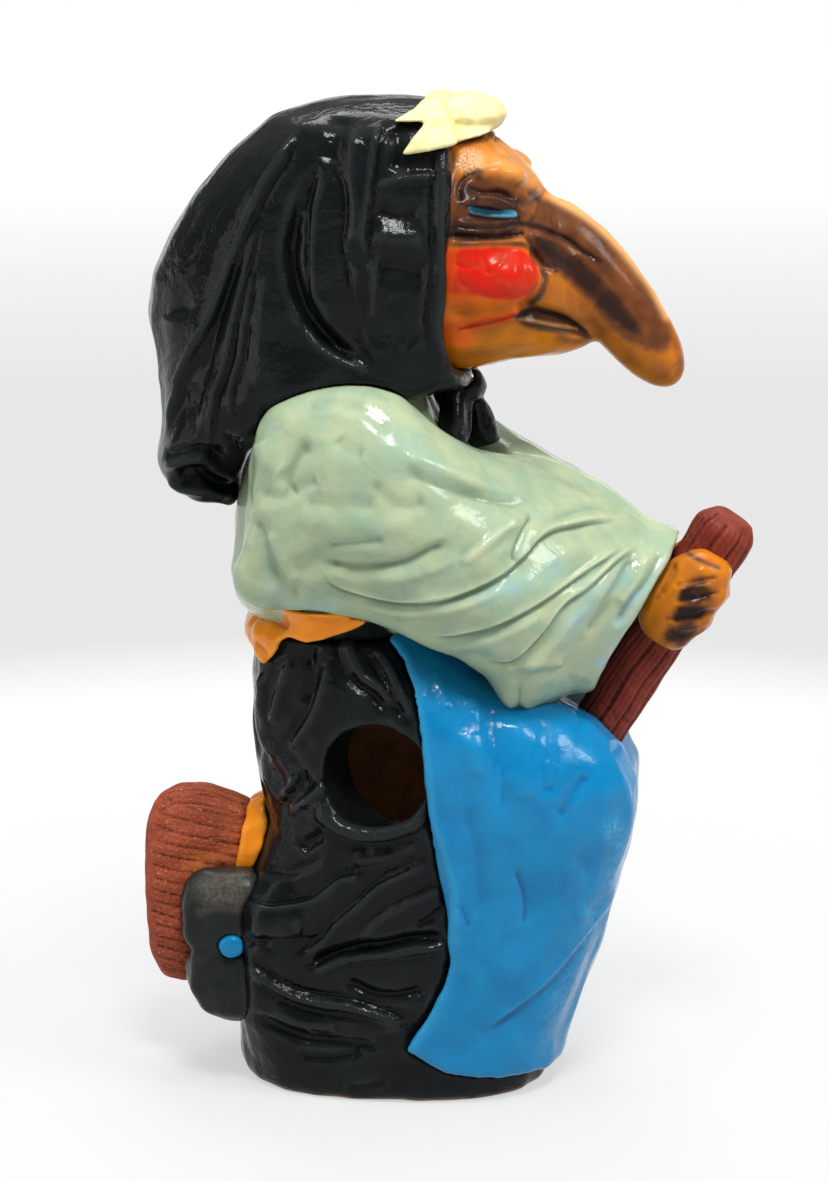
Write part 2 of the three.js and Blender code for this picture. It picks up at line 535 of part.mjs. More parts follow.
const knotSkin = (grow) => {
  const tail = (x, y) =>
    skin(
      [
        section(jaw(-2, -4), jaw(6, -3), KNOT_WIDTH / 4, y / 2),
        section(jaw(x - 3, -12), jaw(x + 6, -10), KNOT_WIDTH / 3.5, y),
        section(jaw(2 * x - 3, -21), jaw(2 * x + 5, -19), KNOT_WIDTH / 3.5, 1.2 * y),
      ],
      { sides: 8, steps: 3, grow },
    );
  const half = KNOT_WIDTH / 2 + grow;
  const ball = ellipsoid([FACE_X + 2, 0, neckZ - 4], [0.8 * half, half, 0.7 * half]);
  return ball.add(tail(0, -7)).add(tail(4, 4));
};

// Fringe of hair, two pointed locks on each side
const hairOutline = [
  face(-12, 1.5), face(-7, 4), face(-4, 14), face(16, 14), face(14, -0.5), face(8, -3), face(1, -4.5),
  face(-10, -6.5), face(-4, 1.5),
];

// Outlines that trim the apron and the sash out of skins laid over the body
const apronSide = [[0.6, 79], [3.2, 60.5], [6.6, 42.7], [5.3, 30.4], [0.3, 19.2], [-5, 10.2]];
const apronEdge = [
  ...moved([APRON_EDGE, WAIST_HEIGHT], [[-17, 8], [-7, -2.4], [-2.6, -12], [-0.4, -24]]),
  ...moved([APRON_EDGE, APRON_HEM_HEIGHT], apronSide),
];
const apronHem = moved([APRON_EDGE, APRON_HEM_HEIGHT], [[-5, 10.2], [5.3, 4], [18.4, 1.6], [37, 0]]);
const apronRegion = slab([
  ...curved(apronEdge, 15),
  ...curved(apronHem, 6).slice(1),
  [2 * KNEE_REACH, APRON_HEM_HEIGHT],
  [2 * KNEE_REACH, WAIST_HEIGHT + 8],
]);
const sashEdge = [[-48, -4], [-36.5, -3], [-32.2, -7], [-28.5, -2], [-26, 2], [-20, 1], [-12, 3.5], [-4, 7]];
const sashRegion = slab(moved([0, WAIST_HEIGHT], [...curved(sashEdge, 14), [-3, 9], [-60, 9]]));
const sashSection = (z, out) =>
  section([-WAIST_BACK - out, z], [WAIST_FRONT + out, z], WAIST_WIDTH / 2 + out + SASH_THICKNESS / 2);
const sashSkin = skin(
  [
    sashSection(WAIST_HEIGHT - 12, 2 + SASH_THICKNESS),
    sashSection(WAIST_HEIGHT - 4, 1 + SASH_THICKNESS),
    sashSection(WAIST_HEIGHT + 4, 1.5 + SASH_THICKNESS),
    sashSection(WAIST_HEIGHT + 12, 6 + SASH_THICKNESS),
  ],
  { sides: 18, steps: 4, square: 2.3 },
);

// Each piece is cut back to its neighbours with a seam between them.
const pair = (form) => {
  const right = form(CLEARANCE);
  return [right, mirrored(right)];
};
const skirtCut = skirtSkin(CLEARANCE);
const apronCut = apronSkin(2 * CLEARANCE + APRON_THICKNESS).intersect(apronRegion);
const blouseCut = blouseSkin(CLEARANCE);
const stickCut = stickSkin(CLEARANCE);
const sleeveCuts = pair(sleeveSkin);
const shoeCuts = pair(shoeSkin);
const sockCuts = pair(sockSkin);
const headCut = headSkin(CLEARANCE);
const scarfCut = scarfSkin(CLEARANCE);

const skirt = cutBy(skirtSkin(0), skirtHollow, throat, holeBore);
const apron = cutBy(apronSkin(CLEARANCE + APRON_THICKNESS).intersect(apronRegion), skirtCut, blouseCut);
const blouse = cutBy(blouseSkin(0), blouseHollow, throat, skirtCut);
const sleeve = cutBy(sleeveSkin(0), blouseCut, skirtCut, apronCut, stickCut, otherSide);
const sash = cutBy(sashSkin.intersect(sashRegion), blouseCut, skirtCut, apronCut, ...sleeveCuts);
const stick = cutBy(stickSkin(0), apronCut, skirtCut);
const hand = cutBy(handSkin(0), stickCut, apronCut, ...sleeveCuts, otherSide);
const binding = cutBy(bindingSkin(0), skirtCut, ...shoeCuts);
const shoe = cutBy(shoeSkin(0), skirtCut, sockCuts[0]);
const sock = cutBy(sockSkin(0), skirtCut);
const brush = cutBy(brushSkin(0), skirtCut, bindingSkin(CLEARANCE), ...shoeCuts, ...sockCuts);
const head = cutBy(headSkin(0), ...faceCuts, skullHollow, behindMask, blouseCut, ...sleeveCuts);
const headscarf = cutBy(scarfSkin(0), scarfHollow, headCut, blouseCut, ...sleeveCuts);
const knot = cutBy(knotSkin(0), scarfCut, headCut, blouseCut, ...sleeveCuts);
const hairSkin = headSkin(HAIR_THICKNESS).add(scarfSkin(HAIR_THICKNESS));
const tuft = ellipsoid([FACE_X + 3, 0, crownZ + 1.5], [11, TUFT_WIDTH / 2, HAIR_THICKNESS + 2.5]);
const hair = cutBy(hairSkin.intersect(slab(hairOutline)).add(tuft), headCut, scarfCut);

// Colours of the fired paint
const paint = (color, roughness) => new THREE.MeshStandardMaterial({ color, roughness, metalness: 0 });
const black = paint("#15191b", 0.22);
const mint = paint("#b3c7a3", 0.25);
const blue = paint("#1a72a8", 0.25);
const orange = paint("#e08a1c", 0.25);
const amber = paint("#b5701c", 0.25);
const straw = paint("#f7efa8", 0.35);
const wood = paint("#5e231c", 0.45);
const bristle = paint("#8f4129", 0.6);
const leather = paint("#2c3232", 0.5);

function piece(name, body, material) {
  const geometry = surface(body);
  geometry.computeVertexNormals();
  const mesh = new THREE.Mesh(geometry, material);
  mesh.name = name;
  return mesh;
}

// A piece on her right and its mirror image on her left.
function bothOf(name, body, material) {
  const right = piece(`${name}_right`, body, material);
  const left = right.clone();
  left.name = `${name}_left`;
  left.scale.y = -1;
  return [right, left];
}

const dress = new THREE.Group();
dress.add(
  piece("skirt_body", skirt, black),
  piece("apron", apron, blue),
  piece("waist_sash", sash, orange),
  piece("blouse_body", blouse, mint),
  ...bothOf("sleeve", sleeve, mint),
);
const broom = new THREE.Group();
broom.add(
  piece("broom_handle", stick, wood),
  piece("broom_brush", brush, bristle),
  piece("broom_binding", binding, orange),
);
const limbs = new THREE.Group();
limbs.add(
  ...bothOf("hand", hand, amber),
  ...bothOf("shoe", shoe, leather),
  ...bothOf("sock", sock, blue),
);
const headGroup = new THREE.Group();
headGroup.add(
  piece("head", head, amber),
  piece("headscarf", headscarf, black),
  piece("scarf_knot", knot, black),
  piece("hair_fringe", hair, straw),
);

const witch = new THREE.Group();
witch.add(dress, broom, limbs, headGroup);

export default witch;
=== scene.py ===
# A kneeling witch in glazed, hand-painted ceramic who keeps kitchen utensils in her hollow skirt.
# Each piece is a smooth copy of a CAD node. Its folds and features are pressed in along strokes drawn in
# pixels of the photograph, and its paint is laid on the same way. The far side mirrors the near one.
import json
import math
from collections import namedtuple

import bmesh
import bpy
import numpy as np
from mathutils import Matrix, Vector
from mathutils.bvhtree import BVHTree


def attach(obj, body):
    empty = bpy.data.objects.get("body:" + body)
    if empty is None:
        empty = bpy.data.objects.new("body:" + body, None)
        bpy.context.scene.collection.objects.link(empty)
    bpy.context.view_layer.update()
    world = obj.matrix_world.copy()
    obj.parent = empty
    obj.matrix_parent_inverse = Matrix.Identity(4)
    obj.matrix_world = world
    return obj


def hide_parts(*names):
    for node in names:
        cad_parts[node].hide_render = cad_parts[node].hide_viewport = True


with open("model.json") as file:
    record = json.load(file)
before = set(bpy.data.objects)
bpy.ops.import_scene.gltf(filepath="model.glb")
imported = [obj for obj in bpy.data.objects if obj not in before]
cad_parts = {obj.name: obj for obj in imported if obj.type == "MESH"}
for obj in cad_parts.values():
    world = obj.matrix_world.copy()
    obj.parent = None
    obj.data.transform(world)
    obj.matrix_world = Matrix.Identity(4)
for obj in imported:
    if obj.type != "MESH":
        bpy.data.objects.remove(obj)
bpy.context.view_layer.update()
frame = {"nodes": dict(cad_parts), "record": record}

MM = 0.001
SCENE = bpy.context.scene

# Camera, fitted to the photograph
PHOTO_WIDTH, PHOTO_HEIGHT = 828, 1181
FOCAL_PIXELS = 3047
CAMERA_AZIMUTH, CAMERA_ELEVATION = math.radians(5), math.radians(13)
CAMERA_DISTANCE = 800 * MM
CAMERA_TARGET = Vector((4.4, 0, 131.3)) * MM
CAMERA_CLIP = 10 * MM
SENSOR = 36
PIXELS_PER_MM = FOCAL_PIXELS * MM / CAMERA_DISTANCE

back = Vector((
    math.sin(CAMERA_AZIMUTH) * math.cos(CAMERA_ELEVATION),
    -math.cos(CAMERA_AZIMUTH) * math.cos(CAMERA_ELEVATION),
    math.sin(CAMERA_ELEVATION),
))
right = Vector((math.cos(CAMERA_AZIMUTH), math.sin(CAMERA_AZIMUTH), 0))
up = back.cross(right)
camera_place = CAMERA_TARGET + back * CAMERA_DISTANCE

# The closed mouth, in mm: one side of its outline, and its lower and upper faces
LIP_SIDE = [(32, 16.8), (35, 16.2), (38.8, 14.4), (42.5, 11.6), (46, 8), (49.8, 4.4)]
LIP_FACES = (199.4, 203.6)

# The utensil hole, in mm, and the crescent of thick wall on its back
HOLE_X, HOLE_Z = -3, 90
HOLE_RADIUS = 14
CRESCENT_RINGS = 16
CRESCENT_START, CRESCENT_TURN = math.radians(95), math.radians(185)
CRESCENT_RIM, RIM_CURVE = -31, 1.5
CRESCENT_EDGE, EDGE_DEPTH = -26.5, 6.5
SLANT, SLANT_TOWARDS, SLANT_FADE = 3, math.radians(205), 0.8

# The broom: the stick's lean, foot and length in mm, and the height of the brush's middle
STICK_LEAN = math.radians(31)
STICK_FOOT = np.array([53.5, 0, 96]) * MM
STICK_LENGTH = 66
BRUSH_MIDDLE = 49

# Smooth random lumps: how many waves make them, and how their lengths vary
LUMP_WAVES, LUMP_PITCH = 14, (0.7, 1.5)

# Strokes and paint reach this many widths, and strokes fade over this share of their length at each end
STROKE_REACH, PAINT_REACH = 4, 3
STROKE_FADE = 0.15

# Pieces with more points than this are thinned out, by this share, where they hardly show
MANY_POINTS = 60_000
THINNING = 0.93
HIDDEN_ROUNDS, HIDDEN_SHARE = 20, 0.95

# Walls of a hollow face each other within this range in mm, and a neighbour covers what is this close
HOLLOW_LEAST, HOLLOW_MOST = 9, 150
COVER_GAP = 1.5

# Recesses are measured against the form smoothed by these rounds, as shares of this depth in mm
CAVITY_ROUNDS, CAVITY_DEPTH = 14, 0.3


def make_camera():
    data = bpy.data.cameras.new("camera")
    data.sensor_fit = "VERTICAL"
    data.sensor_height = SENSOR
    data.lens = FOCAL_PIXELS / PHOTO_HEIGHT * SENSOR
    data.clip_start = CAMERA_CLIP
    camera = bpy.data.objects.new("camera", data)
    SCENE.collection.objects.link(camera)
    camera.location = camera_place
    camera.rotation_euler = back.to_track_quat("Z", "Y").to_euler()
    SCENE.camera = camera


def to_photo(points):
    """Pixels of the photograph that show these points."""
    offset = points - np.array(camera_place)
    depth = -offset @ np.array(back)
    across = FOCAL_PIXELS * (offset @ np.array(right)) / depth
    rise = FOCAL_PIXELS * (offset @ np.array(up)) / depth
    return np.stack([PHOTO_WIDTH / 2 + across, PHOTO_HEIGHT / 2 - rise], 1)


def smoothstep(low, high, x):
    t = np.clip((x - low) / (high - low), 0, 1)
    return t * t * (3 - 2 * t)


def curve(path, closed=False, per_leg=6):
    """A smooth line through the pixels written as 'x,y x,y ...'."""
    points = np.array([[float(v) for v in pair.split(",")] for pair in path.split()])
    if closed:
        padded = np.vstack([points[-1], points, points[:2]])
    elif len(points) < 3:
        return points
    else:
        padded = np.vstack([2 * points[0] - points[1], points, 2 * points[-1] - points[-2]])
    line = []
    for p0, p1, p2, p3 in zip(padded, padded[1:], padded[2:], padded[3:]):
        slope = p2 - p0
        turn = 2 * p0 - 5 * p1 + 4 * p2 - p3
        twist = 3 * p1 - p0 - 3 * p2 + p3
        for u in np.arange(per_leg) / per_leg:
            line.append(p1 + (slope * u + turn * u**2 + twist * u**3) / 2)
    return np.array(line + [padded[-2]])


def along(line, pixels):
    """For each pixel: its distance from the line in mm, its side, and its share of the way along."""
    distance = np.full(len(pixels), np.inf)
    side = np.zeros(len(pixels))
    share = np.zeros(len(pixels))
    lengths = np.linalg.norm(np.diff(line, axis=0), axis=1)
    starts = np.concatenate([[0], np.cumsum(lengths)])
    for k, (a, b) in enumerate(zip(line, line[1:])):
        leg = b - a
        t = np.clip(((pixels - a) @ leg) / max(leg @ leg, 1e-9), 0, 1)
        off = pixels - a - t[:, None] * leg
        d = np.hypot(off[:, 0], off[:, 1]) / PIXELS_PER_MM
        near = d < distance
        distance[near] = d[near]
        side[near] = np.sign(leg[0] * off[near, 1] - leg[1] * off[near, 0])
        share[near] = (starts[k] + t[near] * lengths[k]) / starts[-1]
    return distance, side, share


def close_to(line, pixels, reach):
    """True for each pixel within a reach in mm of the box around a line."""
    margin = reach * PIXELS_PER_MM
    return ((pixels > line.min(0) - margin) & (pixels < line.max(0) + margin)).all(1)


def within(outline, pixels):
    """True for each pixel inside a closed outline."""
    x, y = pixels.T
    crossings = np.zeros(len(pixels), int)
    for (ax, ay), (bx, by) in zip(outline, outline[1:]):
        if ay != by:
            crossings += ((ay > y) != (by > y)) & (x < (bx - ax) * (y - ay) / (by - ay) + ax)
    return crossings % 2 == 1


def lumps(points, size, seed):
    """A smooth random height of about -1 to 1, with bumps of this size in mm."""
    random = np.random.default_rng(seed)
    total = np.zeros(len(points))
    for _ in range(LUMP_WAVES):
        direction = random.normal(size=3)
        direction *= random.uniform(*LUMP_PITCH) * 2 * np.pi / (size * MM * np.linalg.norm(direction))
        total += np.sin(points @ direction + random.uniform(0, 2 * np.pi))
    return total / LUMP_WAVES**0.5


# Profiles of strokes: height by distance in stroke widths, positive on the right of the stroke's path
def ridge(s):
    return np.exp(-(s**2))


def groove(s):
    return -ridge(s)


def crease(s):
    """A sharp, narrow groove."""
    sharpness = 1.6
    return -np.exp(-sharpness * np.abs(s))


def fold(s):
    """A ridge with a hollow on the right of it."""
    hollow, place = 0.8, 1.7
    return ridge(s) - hollow * ridge(s - place)


def lap(s):
    """Cloth lying over cloth: a high edge that falls away slowly, above a sharp hollow."""
    step, fall, hollow, hollow_width = 0.4, 2.4, 0.7, 0.8
    above = smoothstep(-step, step, s)
    return above * np.exp(-np.abs(s) / fall) - hollow * (1 - above) * np.exp(-np.abs(s) / hollow_width)


def cad_tree(nodes):
    """The surfaces of these CAD nodes, for finding what is near."""
    points, faces = [], []
    for node in nodes:
        mesh = frame["nodes"][node].data
        faces += [[len(points) + v for v in face.vertices] for face in mesh.polygons]
        points += [v.co for v in mesh.vertices]
    return BVHTree.FromPolygons(points, faces)


def lips():
    """The closed mouth: rings of a prism, in mm, that fills the CAD's slit."""
    outline = LIP_SIDE + [(x, -y) for x, y in reversed(LIP_SIDE)]
    return [[(x, y, z) for x, y in outline] for z in LIP_FACES]


def bore_lip():
    """The thick, slanting wall on the back of the utensil hole: rings of a crescent, in mm."""
    rings = []
    for share in np.linspace(0, 1, CRESCENT_RINGS):
        turn = CRESCENT_START + CRESCENT_TURN * share
        x, z = math.cos(turn), math.sin(turn)
        rim = CRESCENT_RIM - RIM_CURVE * abs(z)
        edge = CRESCENT_EDGE + EDGE_DEPTH * math.sin(math.pi * share)
        slant = SLANT * max(0, math.cos(turn - SLANT_TOWARDS)) ** SLANT_FADE
        # For each corner of the ring: its shift forwards, its radius, and its depth in the wall
        corners = [
            (1, HOLE_RADIUS + 1.5, rim),
            (3.4 + slant, HOLE_RADIUS, edge),
            (2.4 + slant, HOLE_RADIUS, edge + 2.5),
            (3.4, HOLE_RADIUS + 3.5, edge + 2),
        ]
        rings.append([(HOLE_X + shift + r * x, y, HOLE_Z + r * z) for shift, r, y in corners])
    return rings


# Forms in which the looks have more clay than the CAD
ADDED = {"head": lips(), "skirt_body": bore_lip()}


def add_solid(mesh, rings):
    """Adds a solid with its skin over these rings of points, which the remeshing then joins on."""
    form = bmesh.new()
    form.from_mesh(mesh)
    loops = [[form.verts.new(Vector(point) * MM) for point in ring] for ring in rings]
    skin = [form.faces.new(loops[0]), form.faces.new(loops[-1])]
    for one, other in zip(loops, loops[1:]):
        skin += [form.faces.new([one[k - 1], one[k], other[k], other[k - 1]]) for k in range(len(one))]
    bmesh.ops.recalc_face_normals(form, faces=skin)
    form.to_mesh(mesh)
    form.free()


class Clay:
    """A smooth copy of a CAD node, to be pressed, painted and finished as one piece of the figure."""

    def __init__(self, node, voxel, relax):
        self.node = node
        self.paints = {}
        self.piece = bpy.data.objects.new(node + "_piece", frame["nodes"][node].data.copy())
        SCENE.collection.objects.link(self.piece)
        if node in ADDED:
            add_solid(self.piece.data, ADDED[node])
        remesh = self.piece.modifiers.new("voxels", "REMESH")
        remesh.mode = "VOXEL"
        remesh.voxel_size = voxel * MM
        self.take_shape()
        if len(self.points) > MANY_POINTS:
            self.thin_out()
        soft = self.spread(self.points, relax)
        self.points = soft + self.spread(self.points - soft, relax)

    def take_shape(self):
        """Keeps what the modifiers make of the piece, and reads its points and edges."""
        graph = bpy.context.evaluated_depsgraph_get()
        self.mesh = bpy.data.meshes.new_from_object(self.piece.evaluated_get(graph))
        self.piece.modifiers.clear()
        self.piece.data = self.mesh
        self.mesh.materials.clear()
        count = len(self.mesh.vertices)
        self.points = np.empty(count * 3)
        self.mesh.vertices.foreach_get("co", self.points)
        self.points = self.points.reshape(-1, 3)
        edges = np.empty(len(self.mesh.edges) * 2, np.int64)
        self.mesh.edges.foreach_get("vertices", edges)
        a, b = edges.reshape(-1, 2).T
        self.ends = np.concatenate([a, b]), np.concatenate([b, a])
        self.valence = np.bincount(self.ends[0], minlength=count)[:, None]

    def thin_out(self):
        """Leaves few points where the piece hardly shows: in its hollow and under its neighbours."""
        inside = self.reach([self.node], HOLLOW_MOST) > HOLLOW_LEAST
        covered = self.reach([node for node in frame["nodes"] if node != self.node], COVER_GAP) > 0
        hidden = self.blur(inside | covered, HIDDEN_ROUNDS) > HIDDEN_SHARE
        group = self.piece.vertex_groups.new(name="hidden")
        group.add(np.nonzero(hidden)[0].tolist(), 1, "REPLACE")
        fewer = self.piece.modifiers.new("fewer", "DECIMATE")
        fewer.vertex_group = group.name
        fewer.ratio = 1 - THINNING * hidden.mean()
        self.take_shape()
        self.piece.vertex_groups.clear()

    def reach(self, nodes, limit):
        """How far in mm each point is from these nodes straight ahead, or 0 if none is within the limit."""
        tree = cad_tree(nodes)
        normal = self.normals()
        clearance = 0.5 if nodes == [self.node] else 0
        starts = self.points + normal * clearance * MM
        hits = [tree.ray_cast(Vector(p), Vector(n), limit * MM)[3] for p, n in zip(starts, normal)]
        return np.array([hit or 0 for hit in hits]) / MM

    def spread(self, values, rounds):
        """Evens out rows of values over neighbouring points."""
        here, there = self.ends
        count = len(values)
        for _ in range(rounds):
            total = np.stack([np.bincount(here, v[there], count) for v in values.T], 1)
            values = 0.5 * values + 0.5 * total / self.valence
        return values

    def blur(self, values, rounds):
        """Evens out one value per point."""
        return self.spread(values[:, None] * 1.0, rounds)[:, 0]

    def normals(self):
        self.mesh.vertices.foreach_set("co", self.points.ravel())
        self.mesh.update()
        normal = np.empty(len(self.points) * 3)
        self.mesh.vertex_normals.foreach_get("vector", normal)
        return normal.reshape(-1, 3)

    def seen(self):
        """Where the photograph shows each point or its mirror image, and how far it faces the camera."""
        flip = np.where(self.points[:, 1:2] > 0, [[1, -1, 1]], [[1, 1, 1]])
        near = self.points * flip
        to_camera = np.array(camera_place) - near
        to_camera /= np.linalg.norm(to_camera, axis=1)[:, None]
        facing = np.einsum("ij,ij->i", self.normals() * flip, to_camera)
        edge_on, turned_to = -0.05, 0.3
        return to_photo(near), smoothstep(edge_on, turned_to, facing)

    def push(self, height):
        """Moves the surface out by a height in mm."""
        self.points = self.points + (height * MM)[:, None] * self.normals()

    def press(self, strokes, gain):
        """Shapes the surface along strokes of (profile, width, depth, path), in mm and pixels."""
        pixels, facing = self.seen()
        height = np.zeros(len(self.points))
        for profile, width, depth, path in strokes:
            line = curve(path)
            index = np.nonzero(close_to(line, pixels, STROKE_REACH * width) & (facing > 0))[0]
            if len(index):
                d, side, share = along(line, pixels[index])
                fade = smoothstep(0, STROKE_FADE, share) * smoothstep(0, STROKE_FADE, 1 - share)
                height[index] += gain * depth * fade * facing[index] * profile(d * side / width)
        self.push(self.blur(height, 1))

    def paint(self, name, marks):
        """Lays paint: lines of (width, strength, path) or filled areas of (edge, strength, path, True)."""
        pixels, _ = self.seen()
        layer = np.zeros(len(self.points))
        for width, strength, path, *filled in marks:
            line = curve(path, closed=bool(filled))
            index = np.nonzero(close_to(line, pixels, PAINT_REACH * width))[0]
            d, _, _ = along(line, pixels[index])
            if filled:
                d = np.where(within(line, pixels[index]), -d, d)
                value = smoothstep(width, -width, d)
            else:
                value = ridge(d / width)
            layer[index] = np.maximum(layer[index], strength * value)
        self.paints[name] = layer

    def soften(self, path, rounds):
        """Evens out the shape within an outline."""
        edge = 2
        self.paint("soft", [(edge, 1, path, True)])
        share = self.paints.pop("soft")[:, None]
        self.points = self.points + share * (self.spread(self.points, rounds) - self.points)

    def hang(self, path, width, drop):
        """Lets the form hang lower along a line, by a drop in mm."""
        self.paint("hang", [(width, drop * MM, path)])
        self.points[:, 2] -= self.paints.pop("hang")

    def finish(self, material, slot):
        self.points[:, 2] = np.maximum(self.points[:, 2], 0)
        normal = self.normals()
        smooth = self.spread(self.points, CAVITY_ROUNDS)
        sunk = np.einsum("ij,ij->i", smooth - self.points, normal)
        self.paints["cavity"] = np.clip(sunk / (CAVITY_DEPTH * MM), -1, 1)
        for name, values in self.paints.items():
            attribute = self.mesh.attributes.new(name, "FLOAT", "POINT")
            attribute.data.foreach_set("value", values.astype(np.float32))
        self.mesh.polygons.foreach_set("use_smooth", np.ones(len(self.mesh.polygons), bool))
        self.mesh.materials.append(material)
        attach(self.piece, "root")
        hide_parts(self.node)


# Folds and features, as strokes of (profile, width, depth, path) in mm and pixels of the photograph
FLAP_FOLD = "302,121 286,155 265,187 244,234 218,305 197,352 179,399 164,449"
BROW_END = "481,171 470,174 463,180 459,190 462,202"
SMILE = "460,329 478,325 497,321 517,315"
SCARF = [
    (lap, 2.4, 1.6, FLAP_FOLD),
    (ridge, 0.9, 0.7, FLAP_FOLD),
    (lap, 1.5, 1.4, "259,215 252,250 242,292 234,328 228,365 215,402 210,454"),
    (lap, 1.3, 1.2, "255,268 247,318 242,357 234,384 232,410 238,423"),
    (groove, 2.2, 1.2, "240,255 226,300 210,352 196,400 186,450"),
    (groove, 2, 2.7, "320,158 307,192 294,231 290,260 297,292 307,315 328,339 365,365"),
    (lap, 1.2, 1.4, "330,332 320,312 311,292 310,244 313,197 319,165"),
    (ridge, 1.1, 1, "316,168 303,200 299,240"),
    (ridge, 1.2, 1.2, "303,325 318,345 345,362 372,374"),
    (crease, 1.4, 1.1, "322,157 341,181 345,213 342,244 349,277 357,315 366,350 384,374"),
    (lap, 1.2, 1.2, "386,118 376,150 370,197 366,234 368,262"),
    (ridge, 1, 0.9, "356,262 353,290 360,325 368,350"),
    (ridge, 1, 0.8, "370,255 373,288 371,322"),
    (ridge, 1.1, 1, "373,188 388,183 402,179 420,177 438,176"),
    (groove, 2.4, 1, "376,205 395,215 420,212"),
    (ridge, 2.6, 1, "374,232 395,240 425,240"),
    (groove, 4, 1.6, "376,266 400,268 428,274"),
    (ridge, 1.2, 1, "444,139 440,192 440,250 441,297 437,330 445,362"),
    (groove, 1, 0.9, "435,145 432,200 432,272 427,325 430,360"),
    (ridge, 1.3, 1.3, "161,468 185,461 205,460 216,472 244,481"),
    (groove, 2, 1.6, "176,480 198,472 214,480 230,490"),
    (ridge, 1.1, 1, "166,476 178,487 200,492 234,496"),
    (groove, 1.2, 1, "165,455 190,449 208,450 226,462"),
    (crease, 1, 1.2, "207,468 218,449 242,438"),
    (crease, 0.9, 0.8, "222,430 232,442 243,452"),
    (ridge, 5, 1, "178,310 184,350 178,392"),
    (groove, 3, 0.9, "340,115 336,145 330,165"),
    (ridge, 2.4, 0.9, "352,125 352,165 356,210 354,250"),
    (groove, 2, 0.8, "395,125 398,150 396,172"),
    (groove, 3, 0.7, "388,300 402,325 420,345"),
    (ridge, 3, 0.6, "272,270 266,310 264,350 268,392"),
]
KNOT = [
    (groove, 1.4, 1, "462,380 468,400 470,425 462,440"),
    (groove, 1.2, 0.9, "480,398 488,420 497,438"),
    (ridge, 1.2, 0.8, "452,390 456,415 450,440"),
]
BLOUSE = [
    (groove, 2.4, 1.5, "254,486 272,496 286,490 291,470 300,453 316,442"),
    (groove, 1.8, 0.9, "290,492 304,486 318,480"),
    (ridge, 3, 1, "256,440 268,462 284,474"),
    (groove, 2.2, 0.9, "300,410 330,402 365,412 395,430"),
    (groove, 2.4, 0.7, "336,436 348,450 366,454"),
    (ridge, 2, 1.1, "400,455 425,462 449,472 484,486 540,500"),
    (groove, 1.6, 1, "400,470 440,486 480,498 530,508"),
    (groove, 2.2, 0.9, "372,478 383,496 404,506 430,500"),
    (groove, 2.4, 0.8, "300,500 340,505 380,502"),
    (ridge, 2.8, 0.9, "290,515 330,525 375,526 420,522"),
    (groove, 1.2, 0.8, "325,546 354,544 388,540"),
    (groove, 1.5, 1.6, "318,558 333,564 360,568 401,564 428,552 454,541"),
    (ridge, 1.8, 0.8, "330,574 360,580 401,578 440,566 466,552"),
    (lap, 1.4, 1.7, "626,518 585,523 549,533 526,554 502,575 469,591 437,601 401,602 363,595 333,584 "
     "317,566"),
    (ridge, 1.4, 1, "355,604 401,613 440,612 480,600 512,584"),
    (lap, 1.4, 1.6, "626,545 600,563 561,588 529,609 496,625 460,634 425,638"),
    (ridge, 1.5, 0.9, "440,648 480,644 515,630 545,610"),
    (lap, 1.3, 1.6, "641,545 618,560 588,588 564,604 540,634 514,658 481,662"),
    (ridge, 1.5, 0.9, "520,672 548,652 570,624 590,602"),
    (crease, 1.2, 1.4, "533,512 520,536 512,557 520,564"),
    (crease, 1, 1, "527,551 543,536 567,524"),
    (ridge, 1.4, 1.2, "460,566 478,551 496,536 520,518"),
    (groove, 1.9, 1.5, "253,512 265,548 279,578 306,601"),
    (ridge, 1.8, 0.9, "268,530 280,560 298,584"),
    (groove, 1.3, 1.4, "635,551 623,578 606,607 585,637"),
    (groove, 1.2, 1.3, "662,548 650,578 629,604 615,628"),
    (ridge, 1.4, 0.9, "648,552 636,580 618,606"),
    (ridge, 1.5, 1, "502,667 532,664 567,662"),
    (groove, 1.4, 0.9, "545,523 590,508 630,512"),
]
